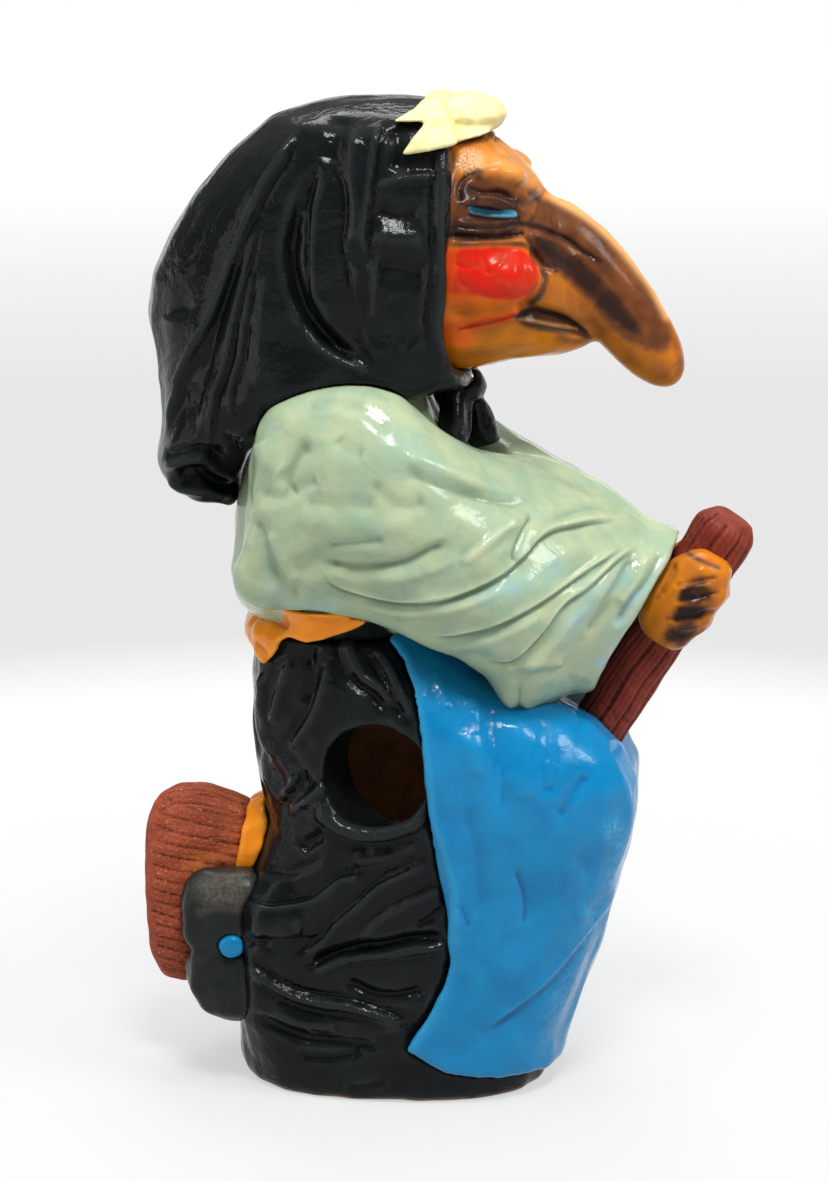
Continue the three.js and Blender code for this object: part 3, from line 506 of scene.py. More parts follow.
SKIRT = [
    (fold, 1.5, 1.3, "346,632 351,654 362,676 381,689 396,708"),
    (ridge, 1.1, 0.9, "338,635 346,664 351,676"),
    (fold, 1.4, 1.2, "373,646 389,670 397,688 407,707 413,718"),
    (fold, 1.5, 1.3, "326,661 326,676 321,696 313,718 299,739 290,752"),
    (ridge, 1.2, 1, "291,661 281,689 275,712 271,724"),
    (fold, 1.3, 1.2, "259,670 262,689 260,712 265,740 278,759"),
    (ridge, 1.2, 1.1, "326,783 306,801 287,814"),
    (ridge, 1.2, 1, "299,775 286,802"),
    (groove, 1.6, 1.1, "316,638 310,651 308,680 306,705"),
    (lap, 1.6, -1.3, "262,775 279,801 297,782 303,768"),
    (ridge, 1.5, 1.6, "316,800 322,814 334,825 358,834 389,834 418,823 426,812"),
    (groove, 1.6, 1.2, "312,818 330,836 358,846 392,845 424,834"),
    (groove, 1.8, 1.6, "300,850 312,842 322,836"),
    (lap, 2, 1.5, "245,898 267,906 285,905 308,900 326,888 341,877 367,872"),
    (lap, 1.7, 1.5, "296,958 322,937 334,922 356,904 378,884 406,870 432,856"),
    (lap, 1.5, 1.2, "356,938 378,917 402,902 424,891 444,884"),
    (crease, 1.2, 1.1, "414,928 430,919 446,907"),
    (groove, 1.5, 2, "304,968 334,954 359,948 387,945 415,939 450,937"),
    (ridge, 1.2, 1.3, "310,975 336,962 360,957 388,954 416,949 448,946"),
    (groove, 1.5, 1.3, "342,978 370,993 396,996 432,988"),
    (lap, 2.2, 2, "245,959 267,976 291,991 319,998 350,1002 378,1011 413,1021"),
    (groove, 1.4, 1.2, "250,972 265,987 291,1002 319,1011 350,1015 392,1024"),
    (groove, 1.6, 1.2, "246,1011 267,1022 285,1030 308,1039 334,1041 359,1044 386,1047"),
    (groove, 1.3, 0.8, "296,1054 330,1057 366,1050"),
    (groove, 1.2, 0.8, "346,1088 367,1087 388,1079"),
    (groove, 1.2, 0.9, "246,940 258,942 272,940"),
    (ridge, 2.2, 0.9, "250,925 280,930 305,925"),
    (ridge, 2, 0.9, "350,860 385,855 420,842"),
    (groove, 1.6, 0.9, "255,868 280,872 305,866 325,852"),
    (ridge, 1.3, 0.8, "270,1010 300,1022 340,1026"),
]
APRON = [
    (groove, 2.6, 1, "491,700 496,740 499,780 500,815"),
    (groove, 2.4, 0.9, "544,715 547,755 549,800"),
    (ridge, 3.4, 0.9, "520,712 523,755 524,805"),
    (ridge, 3, 0.8, "470,690 474,730 476,780"),
    (ridge, 1.2, 0.6, "433,668 441,690 447,712"),
    (ridge, 0.9, 0.5, "476,708 477,722 476,736"),
    (ridge, 0.9, 0.5, "497,764 498,786 497,810"),
    (ridge, 0.9, 0.5, "548,758 549,772 548,788"),
    (groove, 1.6, 0.9, "588,772 574,792 558,820"),
    (crease, 1, 1.1, "514,868 521,886 525,905 523,928"),
    (crease, 0.9, 0.8, "457,902 464,914 469,930"),
    (lap, 2.6, 1.5, "624,878 609,906 587,934 565,962 546,984 515,1009 478,1035"),
    (groove, 2, 1, "552,1052 577,997 611,925"),
    (groove, 1.7, 1.2, "611,740 624,762 635,784 641,806"),
    (ridge, 2.2, 0.9, "440,820 455,870 456,920 450,960"),
    (groove, 2.4, 0.9, "462,800 478,860 480,915 468,970"),
    (groove, 2.4, 0.8, "575,850 590,880 585,915"),
    (ridge, 1, 0.7, "378,628 398,656 412,690 421,725 428,770 434,820 446,858 455,905 448,950 430,995 "
     "414,1040"),
]
SASH = [
    (groove, 1, 0.7, "262,612 275,622 290,628"),
    (groove, 1, 0.6, "300,618 330,622 360,616"),
    (groove, 1, 0.7, "252,640 262,650 268,662"),
]
FACE = [
    (ridge, 2.4, 1.1, "474,178 487,172 500,170 514,175 524,183"),
    (crease, 1.2, 1.6, "466,185 483,192 504,194 516,201"),
    (crease, 1, 1.5, BROW_END),
    (ridge, 1, 0.9, "474,198 486,197 497,199 508,204 515,209"),
    (groove, 0.8, 0.9, "466,209 484,212 500,214 517,213"),
    (ridge, 0.8, 0.9, "453,222 470,224 487,225 505,223 520,218"),
    (crease, 0.6, 0.7, "452,226 470,228 486,228 505,227 520,222"),
    (ridge, 0.7, 0.7, "451,230 485,232 505,230 519,226"),
    (groove, 1, 1.2, "447,236 467,237 485,238 505,237 522,233"),
    (ridge, 0.8, 0.8, "450,243 485,242 515,241 530,245 540,253"),
    (ridge, 6, 1.4, "436,276 470,276 500,276 526,277"),
    (crease, 0.6, 0.5, "481,250 484,262 489,274 500,266 511,252"),
    (crease, 0.6, 0.5, "449,262 460,266 472,267 477,250"),
    (groove, 1.3, 0.9, "541,280 536,292 524,304 498,310 468,313 447,314"),
    (groove, 1.3, 1.5, "531,246 541,262 544,278 540,293 529,305 516,313"),
    (crease, 1, 1.2, SMILE),
    (groove, 1.7, 2.4, "516,318 532,311 548,313 566,320 588,335"),
    (ridge, 0.8, 1.1, "518,321 537,323 556,327 580,331"),
    (ridge, 2, 0.7, "442,349 492,345 540,340"),
    (crease, 1.1, 1.4, "521,224 542,228 565,238 583,251 600,261"),
    (groove, 0.9, 1, "526,237 535,250 545,263 556,271"),
    (ridge, 1.7, 1.1, "530,232 552,246 575,264"),
    (groove, 1.2, 1, "518,208 530,203 540,196 548,194"),
    (groove, 0.6, 1, "488,124 487,140"),
    (groove, 0.6, 1, "496,126 497,142"),
    (ridge, 1, 0.8, "482,136 492,132 503,138"),
    (crease, 0.6, 0.5, "677,362 668,376 660,382"),
]
HAIR = [
    (groove, 0.8, 0.8, "408,114 425,112 445,106"),
    (groove, 0.7, 0.6, "418,138 434,126 452,122"),
    (groove, 0.7, 0.6, "455,98 470,108 480,122"),
    (ridge, 1.2, 0.5, "428,104 450,99 470,102"),
]
HAND = [
    (groove, 0.7, 0.9, "672,586 690,583 720,577"),
    (groove, 0.7, 0.9, "674,601 692,599 722,592"),
    (groove, 0.7, 0.9, "668,618 690,618 720,610"),
    (groove, 0.7, 0.8, "663,633 688,635 714,627"),
    (ridge, 2, 0.9, "684,578 680,600 674,630"),
    (groove, 0.9, 0.7, "676,564 670,580 660,596"),
]

# Paint, in the same way: (width, strength, path) is a soft line, and a fourth value True fills the outline
BROWN = [
    (2, 0.7, "524,222 541,199 562,203 588,217 611,235 632,257 650,281 663,306 673,334 664,352 640,348 "
     "618,335 600,315 584,296 565,278 543,269 530,250", True),
    (2.4, 1, "530,234 548,236 575,250 600,272 622,296 640,320 648,338 634,338 616,327 598,309 580,291 "
     "562,275 544,264", True),
    (1.8, 0.72, "448,186 462,176 480,172 494,182 512,188 528,194 542,204 530,216 524,234 500,239 448,240",
     True),
    (1.6, 0.95, "456,192 466,184 482,191 504,195 518,203 524,214 520,232 500,238 450,238 450,222", True),
    (1.5, 0.8, "530,192 538,200 536,214 528,224"),
    (2.4, 0.5, "476,185 498,182 516,188 526,194"),
    (1.8, 0.55, "449,150 448,200 447,240"),
    (1.2, 0.75, "482,132 504,137"),
    (1.1, 0.75, "452,142 470,140 484,136"),
    (0.9, 0.95, "516,317 531,307 548,310 567,316 588,332 590,340 572,334 550,331 527,327", True),
    (1.2, 0.85, "531,247 541,262 545,278 541,293 531,304"),
    (1, 0.5, "447,244 480,244 520,243 540,254"),
    (1.4, 0.4, "560,338 574,341 590,341"),
    (1.6, 0.4, "672,340 680,356 678,372"),
    (5, 0.25, "552,290 585,318 625,352 660,370"),
]
DARK = [
    (0.7, 0.95, BROW_END),
    (1, 0.8, "466,186 483,192 504,194 517,202"),
    (0.45, 1, "467,206 484,208 500,210 515,209"),
    (0.5, 1, "470,215 487,218 505,219 518,217"),
    (0.5, 0.7, "452,227 470,228 486,229 505,227 520,222"),
    (0.9, 1, "448,235 467,237 485,238 505,237 522,233"),
    (0.8, 0.85, "520,223 542,228 565,238 583,251 600,261"),
    (2.2, 0.55, "546,248 575,268 606,298 634,328"),
    (0.7, 0.95, "517,317 531,309 548,312 567,318 586,332"),
    (0.6, 0.7, "526,237 535,250 545,264 556,271"),
]
RED = [
    (1.6, 1, "455,251 483,246 516,247 534,257 540,272 536,288 524,299 497,301 470,294 455,280", True),
    (2, 0.8, "444,252 462,249 480,270 480,297 462,298 444,290", True),
    (2.4, 0.4, "444,288 470,297 508,302 508,309 470,311 444,310", True),
    (0.9, 0.95, SMILE),
    (1.8, 0.5, "448,324 470,322 496,317 520,312"),
    (2.6, 0.55, "444,326 450,338 466,338"),
]
BLUE = [(0.25, 1, "469,207 483,209 498,211 512,210 517,216 504,217 487,216 472,213", True)]
# Painted highlights in light tan: along the lip, the ridge of the nose and the forehead
PAINTED_HIGHLIGHTS = [
    (0.45, 0.35, "518,319 535,321 554,325 577,328"),
    (1.4, 1, "552,195 584,213 605,230 624,250 641,271 653,287 668,315"),
    (2.6, 0.5, "504,148 520,160 532,178"),
    (2.6, 0.4, "484,160 500,162 514,168"),
]
# A worn, rough patch of glaze on the brow, painted pale, partly as a painted highlight
WORN_HIGHLIT_PATCH = [(1, 0.9, "457,164 461,151 470,148 481,153 483,166 476,173 462,172", True)]
SMUDGES = [
    (1, 1, "681,589 695,585 711,588 709,600 694,603 679,601", True),
    (1, 1, "676,607 692,605 707,606 703,618 690,622 674,622", True),
    (1, 0.9, "667,629 684,626 698,626 692,638 676,643 665,640", True),
    (1.4, 0.75, "702,584 698,604 690,624 680,642"),
    (0.5, 0.6, "664,634 690,636 714,628"),
]
HAND_BROWN = [
    (3, 0.55, "697,582 692,604 682,636"),
    (1.4, 0.35, "714,580 710,604 702,626"),
    (0.6, 0.5, "668,618 690,618 722,610"),
    (0.7, 0.4, "676,564 668,580 658,598"),
    (0.7, 0.6, "686,552 700,560 718,568"),
]
# Painted bluish shade on the blouse: where the sleeve turns under, in its folds and beside the stick
PAINTED_BLUISH_SHADE = [
    (2, 0.6, "600,664 618,630 636,596"),
    (2, 0.4, "560,640 590,604 624,576"),
    (1.8, 0.35, "640,600 650,580 662,560"),
    (2.4, 0.4, "480,600 520,584 560,566"),
    (2, 0.35, "268,588 290,602 330,606"),
]
WORN = [
    (2.6, 0.9, "612,828 624,846 620,866 612,884"),
    (1.6, 0.5, "560,760 575,752 590,756"),
    (4, 0.4, "600,905 585,950 560,1000 550,1040"),
]
DUST = [
    (3, 0.9, "199,880 243,872 245,902 218,906 202,900", True),
    (1.2, 0.5, "200,912 215,908 240,908"),
]
# Painted orange light on the brush near its binding
PAINTED_ORANGE_LIGHT = [
    (2.5, 0.8, "186,858 215,850 240,860 240,872 205,876 184,872", True),
    (2, 0.5, "236,800 232,830 240,858"),
]
HEM = [(0.5, 1, "296,634 340,630 366,620 384,626 402,642 400,652 296,652", True)]

# Where a whole form is smoothed, lowered or filled out, in pixels, and the heights of the sash in mm
CHEEK = "446,250 466,247 474,262 474,296 464,312 446,312"
MOUTH = "512,326 530,321 560,323 598,332 592,348 560,347 524,342"
HAIR_TOP = "424,92 434,86 446,88"
FLAP_CORNER = "230,486 240,480"
SLEEVE_TIP = "507,697 518,703 528,700"
CUFF = "556,692 576,690 592,678"
BLOUSE_BACK = "236,572 244,592 262,603"
SASH_LOW, SASH_HIGH = 123.5, 130


class Paint:
    """The nodes of one material, or of the world if it has no name."""

    def __init__(self, name):
        if name:
            self.material = bpy.data.materials.new(name)
        else:
            self.material = SCENE.world = bpy.data.worlds.new("studio")
        self.material.use_nodes = True
        self.nodes = self.material.node_tree.nodes
        self.links = self.material.node_tree.links
        self.shader = self.nodes["Principled BSDF" if name else "Background"]
        self.place = self.node("ShaderNodeTexCoord").outputs["Object" if name else "Generated"]

    def node(self, kind, inputs=None, **settings):
        node = self.nodes.new(kind)
        for key, value in settings.items():
            setattr(node, key, value)
        for key, value in (inputs or {}).items():
            self.put(node.inputs[key], value)
        return node

    def put(self, socket, value):
        if isinstance(value, bpy.types.NodeSocket):
            self.links.new(value, socket)
        else:
            socket.default_value = value

    def noise(self, size, detail=3, distortion=0, place=None):
        """Cloudy variation with features of this size in mm."""
        inputs = {
            "Vector": place or self.place,
            "Scale": 1 / (size * MM),
            "Detail": detail,
            "Distortion": distortion,
        }
        return self.node("ShaderNodeTexNoise", inputs).outputs["Fac"]

    def mapped(self, key, values, place=None):
        """Places on the piece, turned or scaled."""
        inputs = {"Vector": place or self.place, key: values}
        return self.node("ShaderNodeMapping", inputs).outputs["Vector"]

    def rise(self):
        """The height of each place."""
        return self.node("ShaderNodeSeparateXYZ", {"Vector": self.place}).outputs["Z"]

    def range(self, value, low, high, to_low=0, to_high=1):
        inputs = {"Value": value, "From Min": low, "From Max": high, "To Min": to_low, "To Max": to_high}
        return self.node("ShaderNodeMapRange", inputs).outputs["Result"]

    def ramp(self, value, levels):
        """Grey levels between these (place, level) stops."""
        color = self.node("ShaderNodeValToRGB", {"Fac": value}).outputs["Color"]
        stops = color.node.color_ramp.elements
        stops.remove(stops[1])
        first, *others = levels
        stops[0].position = first[0]
        for place, _ in others:
            stops.new(place)
        for stop, (_, level) in zip(stops, levels):
            stop.color = (level, level, level, 1)
        return color

    def layer(self, name):
        return self.node("ShaderNodeAttribute", attribute_name=name).outputs["Fac"]

    def times(self, a, b):
        return self.node("ShaderNodeMath", {0: a, 1: b}, operation="MULTIPLY").outputs[0]

    def plus(self, a, b):
        return self.node("ShaderNodeMath", {0: a, 1: b}, operation="ADD").outputs[0]

    def mix(self, share, a, b):
        a, b = ((*v, 1) if isinstance(v, tuple) else v for v in (a, b))
        return self.node("ShaderNodeMixRGB", {"Fac": share, "Color1": a, "Color2": b}).outputs["Color"]

    def finish(self, color, roughness, height, depth, shine=0.2):
        """Joins a colour, a roughness, a bump of this depth in mm and a share of mirror to the shader."""
        self.put(self.shader.inputs["Base Color"], color)
        self.put(self.shader.inputs["Specular IOR Level"], shine)
        self.put(self.shader.inputs["Roughness"], roughness)
        bump = self.node("ShaderNodeBump", {"Height": height, "Distance": depth * MM})
        self.put(self.shader.inputs["Normal"], bump.outputs["Normal"])
        return self.material


def glazed(name, light, dark, pooled_glaze_and_shade, thin_glaze_and_sheen, gloss=(0.12, 0.3)):
    """Brushed-on, glossy fired paint: uneven, darker in the recesses and lighter on the ridges. The
    recesses show pooled glaze with painted shade, and the ridges show thin glaze with a painted sheen.
    """
    m = Paint(name)
    cavity = m.layer("cavity")
    patches = m.range(m.noise(9, 4, 0.6), 0.35, 0.65)
    color = m.mix(patches, light, dark)
    # Painted shade in the recesses and a painted sheen on the ridges, partly pooled and thin glaze
    color = m.mix(m.range(cavity, 0.1, 0.9, 0, 0.85), color, pooled_glaze_and_shade)
    color = m.mix(m.range(cavity, -0.2, -1, 0, 0.6), color, thin_glaze_and_sheen)
    roughness = m.range(m.noise(3.5, 4), 0.35, 0.7, *gloss)
    brushwork, waves = m.noise(1.7, 3, 0.4), m.noise(8, 2, 1.2)
    return m, color, roughness, m.plus(brushwork, m.times(waves, 2))


BLACK = (0.006, 0.0085, 0.009)


def black_glaze():
    m, color, roughness, height = glazed(
        "black_glaze", light=BLACK, dark=(0.004, 0.0055, 0.006),
        pooled_glaze_and_shade=(0.0025, 0.003, 0.003), thin_glaze_and_sheen=(0.02, 0.025, 0.025), gloss=(0.075, 0.2),
    )
    clay_light, clay_dark, foot_clay = (0.7, 0.42, 0.2), (0.55, 0.32, 0.15), (0.3, 0.15, 0.06)
    inside = m.layer("inside")
    bare = m.mix(m.range(m.noise(7, 4), 0.35, 0.65), clay_light, clay_dark)
    color = m.mix(inside, color, bare)
    patches = m.range(m.noise(12, 4, 0.5), 0.42, 0.58)
    foot = m.times(m.range(m.rise(), 0.4 * MM, 1.6 * MM, 1, 0), patches)
    color = m.mix(foot, color, foot_clay)
    roughness = m.plus(roughness, m.times(inside, 0.55))
    return m.finish(color, roughness, height, depth=0.18, shine=0.125)


def mint_glaze():
    m, color, roughness, height = glazed(
        "mint_glaze", light=(0.36, 0.43, 0.265), dark=(0.27, 0.37, 0.25),
        pooled_glaze_and_shade=(0.11, 0.18, 0.11), thin_glaze_and_sheen=(0.52, 0.57, 0.37), gloss=(0.1, 0.22),
    )
    cream, cool, blue, speck = (0.47, 0.5, 0.305), (0.25, 0.385, 0.31), (0.26, 0.48, 0.56), (0.2, 0.2, 0.12)
    # Cream mottling on the raised parts: real tone variation that also lightens the ridges as a painted
    # sheen
    raised = m.range(m.layer("cavity"), 0.4, -0.2)
    color = m.mix(m.times(m.range(m.noise(16, 3, 0.8), 0.5, 0.72, 0, 0.6), raised), color, cream)
    color = m.mix(m.range(m.noise(13, 4, 1), 0.52, 0.7, 0, 0.45), color, cool)
    # The blue here is painted bluish shade
    color = m.mix(m.times(m.layer("bluish_shade"), m.range(m.noise(5, 4, 0.5), 0.3, 0.6)), color, blue)
    color = m.mix(m.times(m.range(m.noise(1.3, 2), 0.74, 0.78), 0.5), color, speck)
    color = m.mix(m.layer("black"), color, BLACK)
    return m.finish(color, roughness, height, depth=0.12, shine=0.25)


def blue_glaze():
    m, color, roughness, height = glazed(
        "blue_glaze", light=(0.004, 0.2, 0.43), dark=(0.003, 0.165, 0.38),
        pooled_glaze_and_shade=(0.002, 0.1, 0.27), thin_glaze_and_sheen=(0.02, 0.27, 0.5), gloss=(0.1, 0.22),
    )
    faded = (0.08, 0.36, 0.58)
    worn = m.times(m.layer("worn"), m.range(m.noise(2.2, 4, 1), 0.4, 0.62))
    color = m.mix(m.times(worn, 0.7), color, faded)
    return m.finish(color, roughness, height, depth=0.12, shine=0.22)


def orange_glaze():
    m, color, roughness, height = glazed(
        "orange_glaze", light=(0.86, 0.27, 0.01), dark=(0.78, 0.22, 0.008),
        pooled_glaze_and_shade=(0.5, 0.1, 0.005), thin_glaze_and_sheen=(0.9, 0.36, 0.03),
    )
    return m.finish(color, roughness, height, depth=0.08)


def amber_glaze():
    m, color, roughness, height = glazed(
        "amber_glaze", light=(0.6, 0.19, 0.008), dark=(0.5, 0.145, 0.006),
        pooled_glaze_and_shade=(0.28, 0.07, 0.004), thin_glaze_and_sheen=(0.7, 0.27, 0.02), gloss=(0.12, 0.28),
    )
    orange_red, full_red = (0.78, 0.1, 0.006), (0.56, 0.01, 0.005)
    light_brown, deep_brown, highlight_tan = (0.19, 0.06, 0.018), (0.045, 0.018, 0.011), (0.7, 0.36, 0.13)
    line_black, soot = (0.012, 0.006, 0.006), (0.016, 0.008, 0.007)
    eye_blue, worn_highlit_patch = (0.05, 0.19, 0.28), (0.62, 0.42, 0.26)
    uneven = m.range(m.noise(4, 3, 0.6), 0.25, 0.75, 0.8, 1.1)
    red = m.times(m.layer("red"), uneven)
    color = m.mix(m.range(red, 0, 0.6), color, orange_red)
    color = m.mix(m.range(red, 0.5, 0.88), color, full_red)
    wash = m.range(m.noise(7, 4, 0.8), 0.4, 0.7, 0.02, 0.24)
    brown = m.plus(m.times(m.layer("brown"), uneven), wash)
    color = m.mix(m.range(brown, 0, 0.6), color, light_brown)
    color = m.mix(m.range(brown, 0.55, 1), color, deep_brown)
    # Painted highlights
    color = m.mix(m.times(m.layer("highlight_tan"), uneven), color, highlight_tan)
    color = m.mix(m.layer("dark"), color, line_black)
    color = m.mix(m.times(m.layer("smudge"), m.range(m.noise(3, 3, 0.6), 0.3, 0.5, 0.8, 1)), color, soot)
    color = m.mix(m.layer("blue"), color, eye_blue)
    # The worn patch, partly a painted highlight
    color = m.mix(m.times(m.layer("worn_highlit"), m.range(m.noise(0.5, 3, 0.5), 0.35, 0.65)), color, worn_highlit_patch)
    return m.finish(color, roughness, height, depth=0.05, shine=0.11)


def straw_glaze():
    m, color, roughness, height = glazed(
        "straw_glaze", light=(0.74, 0.69, 0.34), dark=(0.7, 0.63, 0.28),
        pooled_glaze_and_shade=(0.45, 0.34, 0.11), thin_glaze_and_sheen=(0.77, 0.73, 0.42), gloss=(0.25, 0.45),
    )
    return m.finish(color, roughness, height, depth=0.08, shine=0.1)


def broom_wood():
    m, color, roughness, _ = glazed(
        "broom_wood", light=(0.18, 0.024, 0.014), dark=(0.125, 0.016, 0.01),
        pooled_glaze_and_shade=(0.04, 0.007, 0.005), thin_glaze_and_sheen=(0.25, 0.05, 0.03), gloss=(0.38, 0.6),
    )
    pale_grain = (0.24, 0.045, 0.028)
    upright = m.mapped("Rotation", (0, STICK_LEAN, 0))
    streak = m.noise(1.1, 4, 0.3, m.mapped("Scale", (1, 1, 0.08), upright))
    color = m.mix(m.range(streak, 0.35, 0.7, 0, 0.7), color, pale_grain)
    return m.finish(color, roughness, streak, depth=0.35, shine=0.12)


def brush_brown():
    m, color, roughness, _ = glazed(
        "brush_brown", light=(0.3, 0.052, 0.02), dark=(0.2, 0.034, 0.013),
        pooled_glaze_and_shade=(0.07, 0.011, 0.006), thin_glaze_and_sheen=(0.38, 0.09, 0.04), gloss=(0.6, 0.8),
    )
    sandy, grit, orange_light = (0.4, 0.11, 0.05), (0.6, 0.25, 0.13), (0.45, 0.12, 0.02)
    sand = m.noise(0.7, 4)
    color = m.mix(m.range(sand, 0.45, 0.7, 0, 0.6), color, sandy)
    color = m.mix(m.range(m.noise(0.9, 1), 0.66, 0.74, 0, 0.6), color, grit)
    # Painted orange light near the binding
    color = m.mix(m.times(m.layer("glow"), m.range(m.noise(3, 4), 0.3, 0.6)), color, orange_light)
    streak = m.noise(1.2, 4, 0, m.mapped("Scale", (0.12, 1, 1)))
    return m.finish(color, roughness, m.plus(sand, streak), depth=0.35)


def shoe_black():
    m, color, roughness, height = glazed(
        "shoe_black", light=(0.01, 0.013, 0.013), dark=(0.007, 0.009, 0.009),
        pooled_glaze_and_shade=(0.004, 0.005, 0.005), thin_glaze_and_sheen=(0.04, 0.045, 0.045), gloss=(0.16, 0.34),
    )
    dust_grey = (0.105, 0.095, 0.075)
    dust = m.times(m.layer("dust"), m.range(m.noise(1, 4), 0.3, 0.7, 0.3, 1))
    color = m.mix(dust, color, dust_grey)
    return m.finish(color, m.plus(roughness, m.times(dust, 0.4)), height, depth=0.12, shine=0.16)


MATERIALS = {
    "black_glaze": black_glaze(),
    "blue_glaze": blue_glaze(),
    "orange_glaze": orange_glaze(),
    "mint_glaze": mint_glaze(),
    "amber_glaze": amber_glaze(),
    "straw_glaze": straw_glaze(),
    "broom_wood": broom_wood(),
    "brush_brown": brush_brown(),
    "shoe_black": shoe_black(),
}


def bare_inside(clay):
    """Leaves walls that the piece itself stands around without glaze, except at the utensil hole."""
    looks, looks_blocked, height = 8, 7, 3.5
    lip, lip_depth = HOLE_RADIUS + 5, -14
    tree = cad_tree([clay.node])
    starts = [Vector(p) for p in clay.points + clay.normals() * height * MM]
    turns = [k * 2 * math.pi / looks for k in range(looks)]
    sides = [Vector((math.cos(turn), math.sin(turn), 0)) for turn in turns]
    blocked = np.array([sum(tree.ray_cast(p, side)[0] is not None for side in sides) for p in starts])
    x, y, z = clay.points.T / MM
    at_hole = (np.hypot(x - HOLE_X, z - HOLE_Z) < lip) & (y < lip_depth)
    clay.paints["inside"] = clay.blur((blocked >= looks_blocked) & ~at_hole, 2)


def tuck_under(clay):
    """Sinks the skirt where the apron lies close over it."""
    search, close, depth = 3 * MM, 1.2 * MM, 1.2
    tree = cad_tree(["apron"])
    near = np.array([tree.find_nearest(Vector(p), search)[3] or search for p in clay.points])
    clay.push(-depth * clay.blur(near < close, 3))


def close_mouth(clay):
    """Smooths away the slit of the mouth and the edge of the cheek, which are then pressed in again."""
    clay.soften(MOUTH, 200)
    clay.soften(CHEEK, 150)


def lower_crest(clay):
    clay.hang(HAIR_TOP, width=2.5, drop=1.5)


def lower_flap(clay):
    clay.hang(FLAP_CORNER, width=4, drop=4)


def bulge_back(clay):
    """Fills the blouse out at the back, over the sash."""
    width, height = 4, 2.2
    clay.paint("bulge", [(width, height, BLOUSE_BACK)])
    clay.push(clay.paints.pop("bulge"))


def drape(clay):
    clay.hang(SLEEVE_TIP, width=4.5, drop=8)
    clay.hang(CUFF, width=5, drop=3.5)
    bulge_back(clay)


def tuck_sash(clay):
    """Leans the top of the sash forwards at her back, under the blouse."""
    depth, start, full = 5.5, -20, -32
    x, _, z = clay.points.T / MM
    clay.points[:, 0] += depth * MM * smoothstep(SASH_LOW, SASH_HIGH, z) * smoothstep(start, full, x)


def bristles(clay):
    """Narrow grooves along the brush, which fall towards its binding and fade at its smooth end."""
    pitch, depth = 3.4, 0.75
    fine_pitch, fine_depth = 1.3, 0.15
    fall, swelling = 0.2, 0.15
    x, y, z = clay.points.T / MM
    normal = clay.normals()
    level = z - BRUSH_MIDDLE + fall * x + 0.5 * lumps(clay.points, 40, 3)
    across = np.where(np.abs(normal[:, 2]) > 0.7, y, level)
    wave = np.abs(np.sin(np.pi * across / pitch))
    fine = np.abs(np.sin(np.pi * across / fine_pitch + lumps(clay.points, 18, 4)))
    side = smoothstep(-0.75, -0.3, normal[:, 0])
    clay.push(swelling - side * (depth * (1 - wave) ** 4 + fine_depth * (1 - fine) ** 2))
    clay.paint("glow", PAINTED_ORANGE_LIGHT)


def grain(clay):
    """Deep lengthwise grooves of a stripped stick that is a little thicker at its upper end."""
    grooves, depth = 11, 1.0
    fine_grooves, fine_depth = 29, 0.3
    swelling, thicker, thick_start, thick_full = 0.3, 0.7, 40, 62
    axis = np.array([math.sin(STICK_LEAN), 0, math.cos(STICK_LEAN)])
    ahead = np.array([math.cos(STICK_LEAN), 0, -math.sin(STICK_LEAN)])
    offset = clay.points - STICK_FOOT
    rise = offset @ axis / MM
    across = offset - np.outer(offset @ axis, axis)
    turn = np.arctan2(across[:, 1], across @ ahead)
    wobble = 0.25 * np.sin(rise / 7) + 0.15 * np.sin(rise / 3.1 + 2)
    wave = np.abs(np.sin(grooves / 2 * turn + wobble + 0.6 * np.sin(2 * turn)))
    fine = np.abs(np.sin(fine_grooves / 2 * turn + 2 * wobble))
    ends = smoothstep(0, 4, STICK_LENGTH - rise)
    upper = thicker * smoothstep(thick_start, thick_full, rise) * ends
    clay.push(swelling + upper - ends * (depth * (1 - wave) ** 3 + fine_depth * (1 - fine) ** 2))


def face_paint(clay):
    layers = {"brown": BROWN, "dark": DARK, "red": RED, "blue": BLUE, "worn_highlit": WORN_HIGHLIT_PATCH, "highlight_tan": PAINTED_HIGHLIGHTS}
    for name, marks in layers.items():
        clay.paint(name, marks)


def hand_paint(clay):
    clay.paint("brown", HAND_BROWN)
    clay.paint("smudge", SMUDGES)


def worn_paint(clay):
    clay.paint("worn", WORN)
    _, facing = clay.seen()
    clay.paints["worn"] *= facing


# Paints the bluish shade on the blouse
def paint_bluish_shade(clay):
    clay.paint("bluish_shade", PAINTED_BLUISH_SHADE)


def paint_bluish_shade_and_hem(clay):
    paint_bluish_shade(clay)
    clay.paint("black", HEM)


def dusty(clay):
    clay.paint("dust", DUST)


def flatten(clay):
    """Leaves only a low dome of the sock standing out of the shoe."""
    dome, lowering = 1.3, 0.65
    y = clay.points[:, 1] / MM
    over = np.maximum(np.abs(y) - np.abs(y).max() + dome, 0)
    clay.points[:, 1] -= lowering * over * np.sign(y) * MM


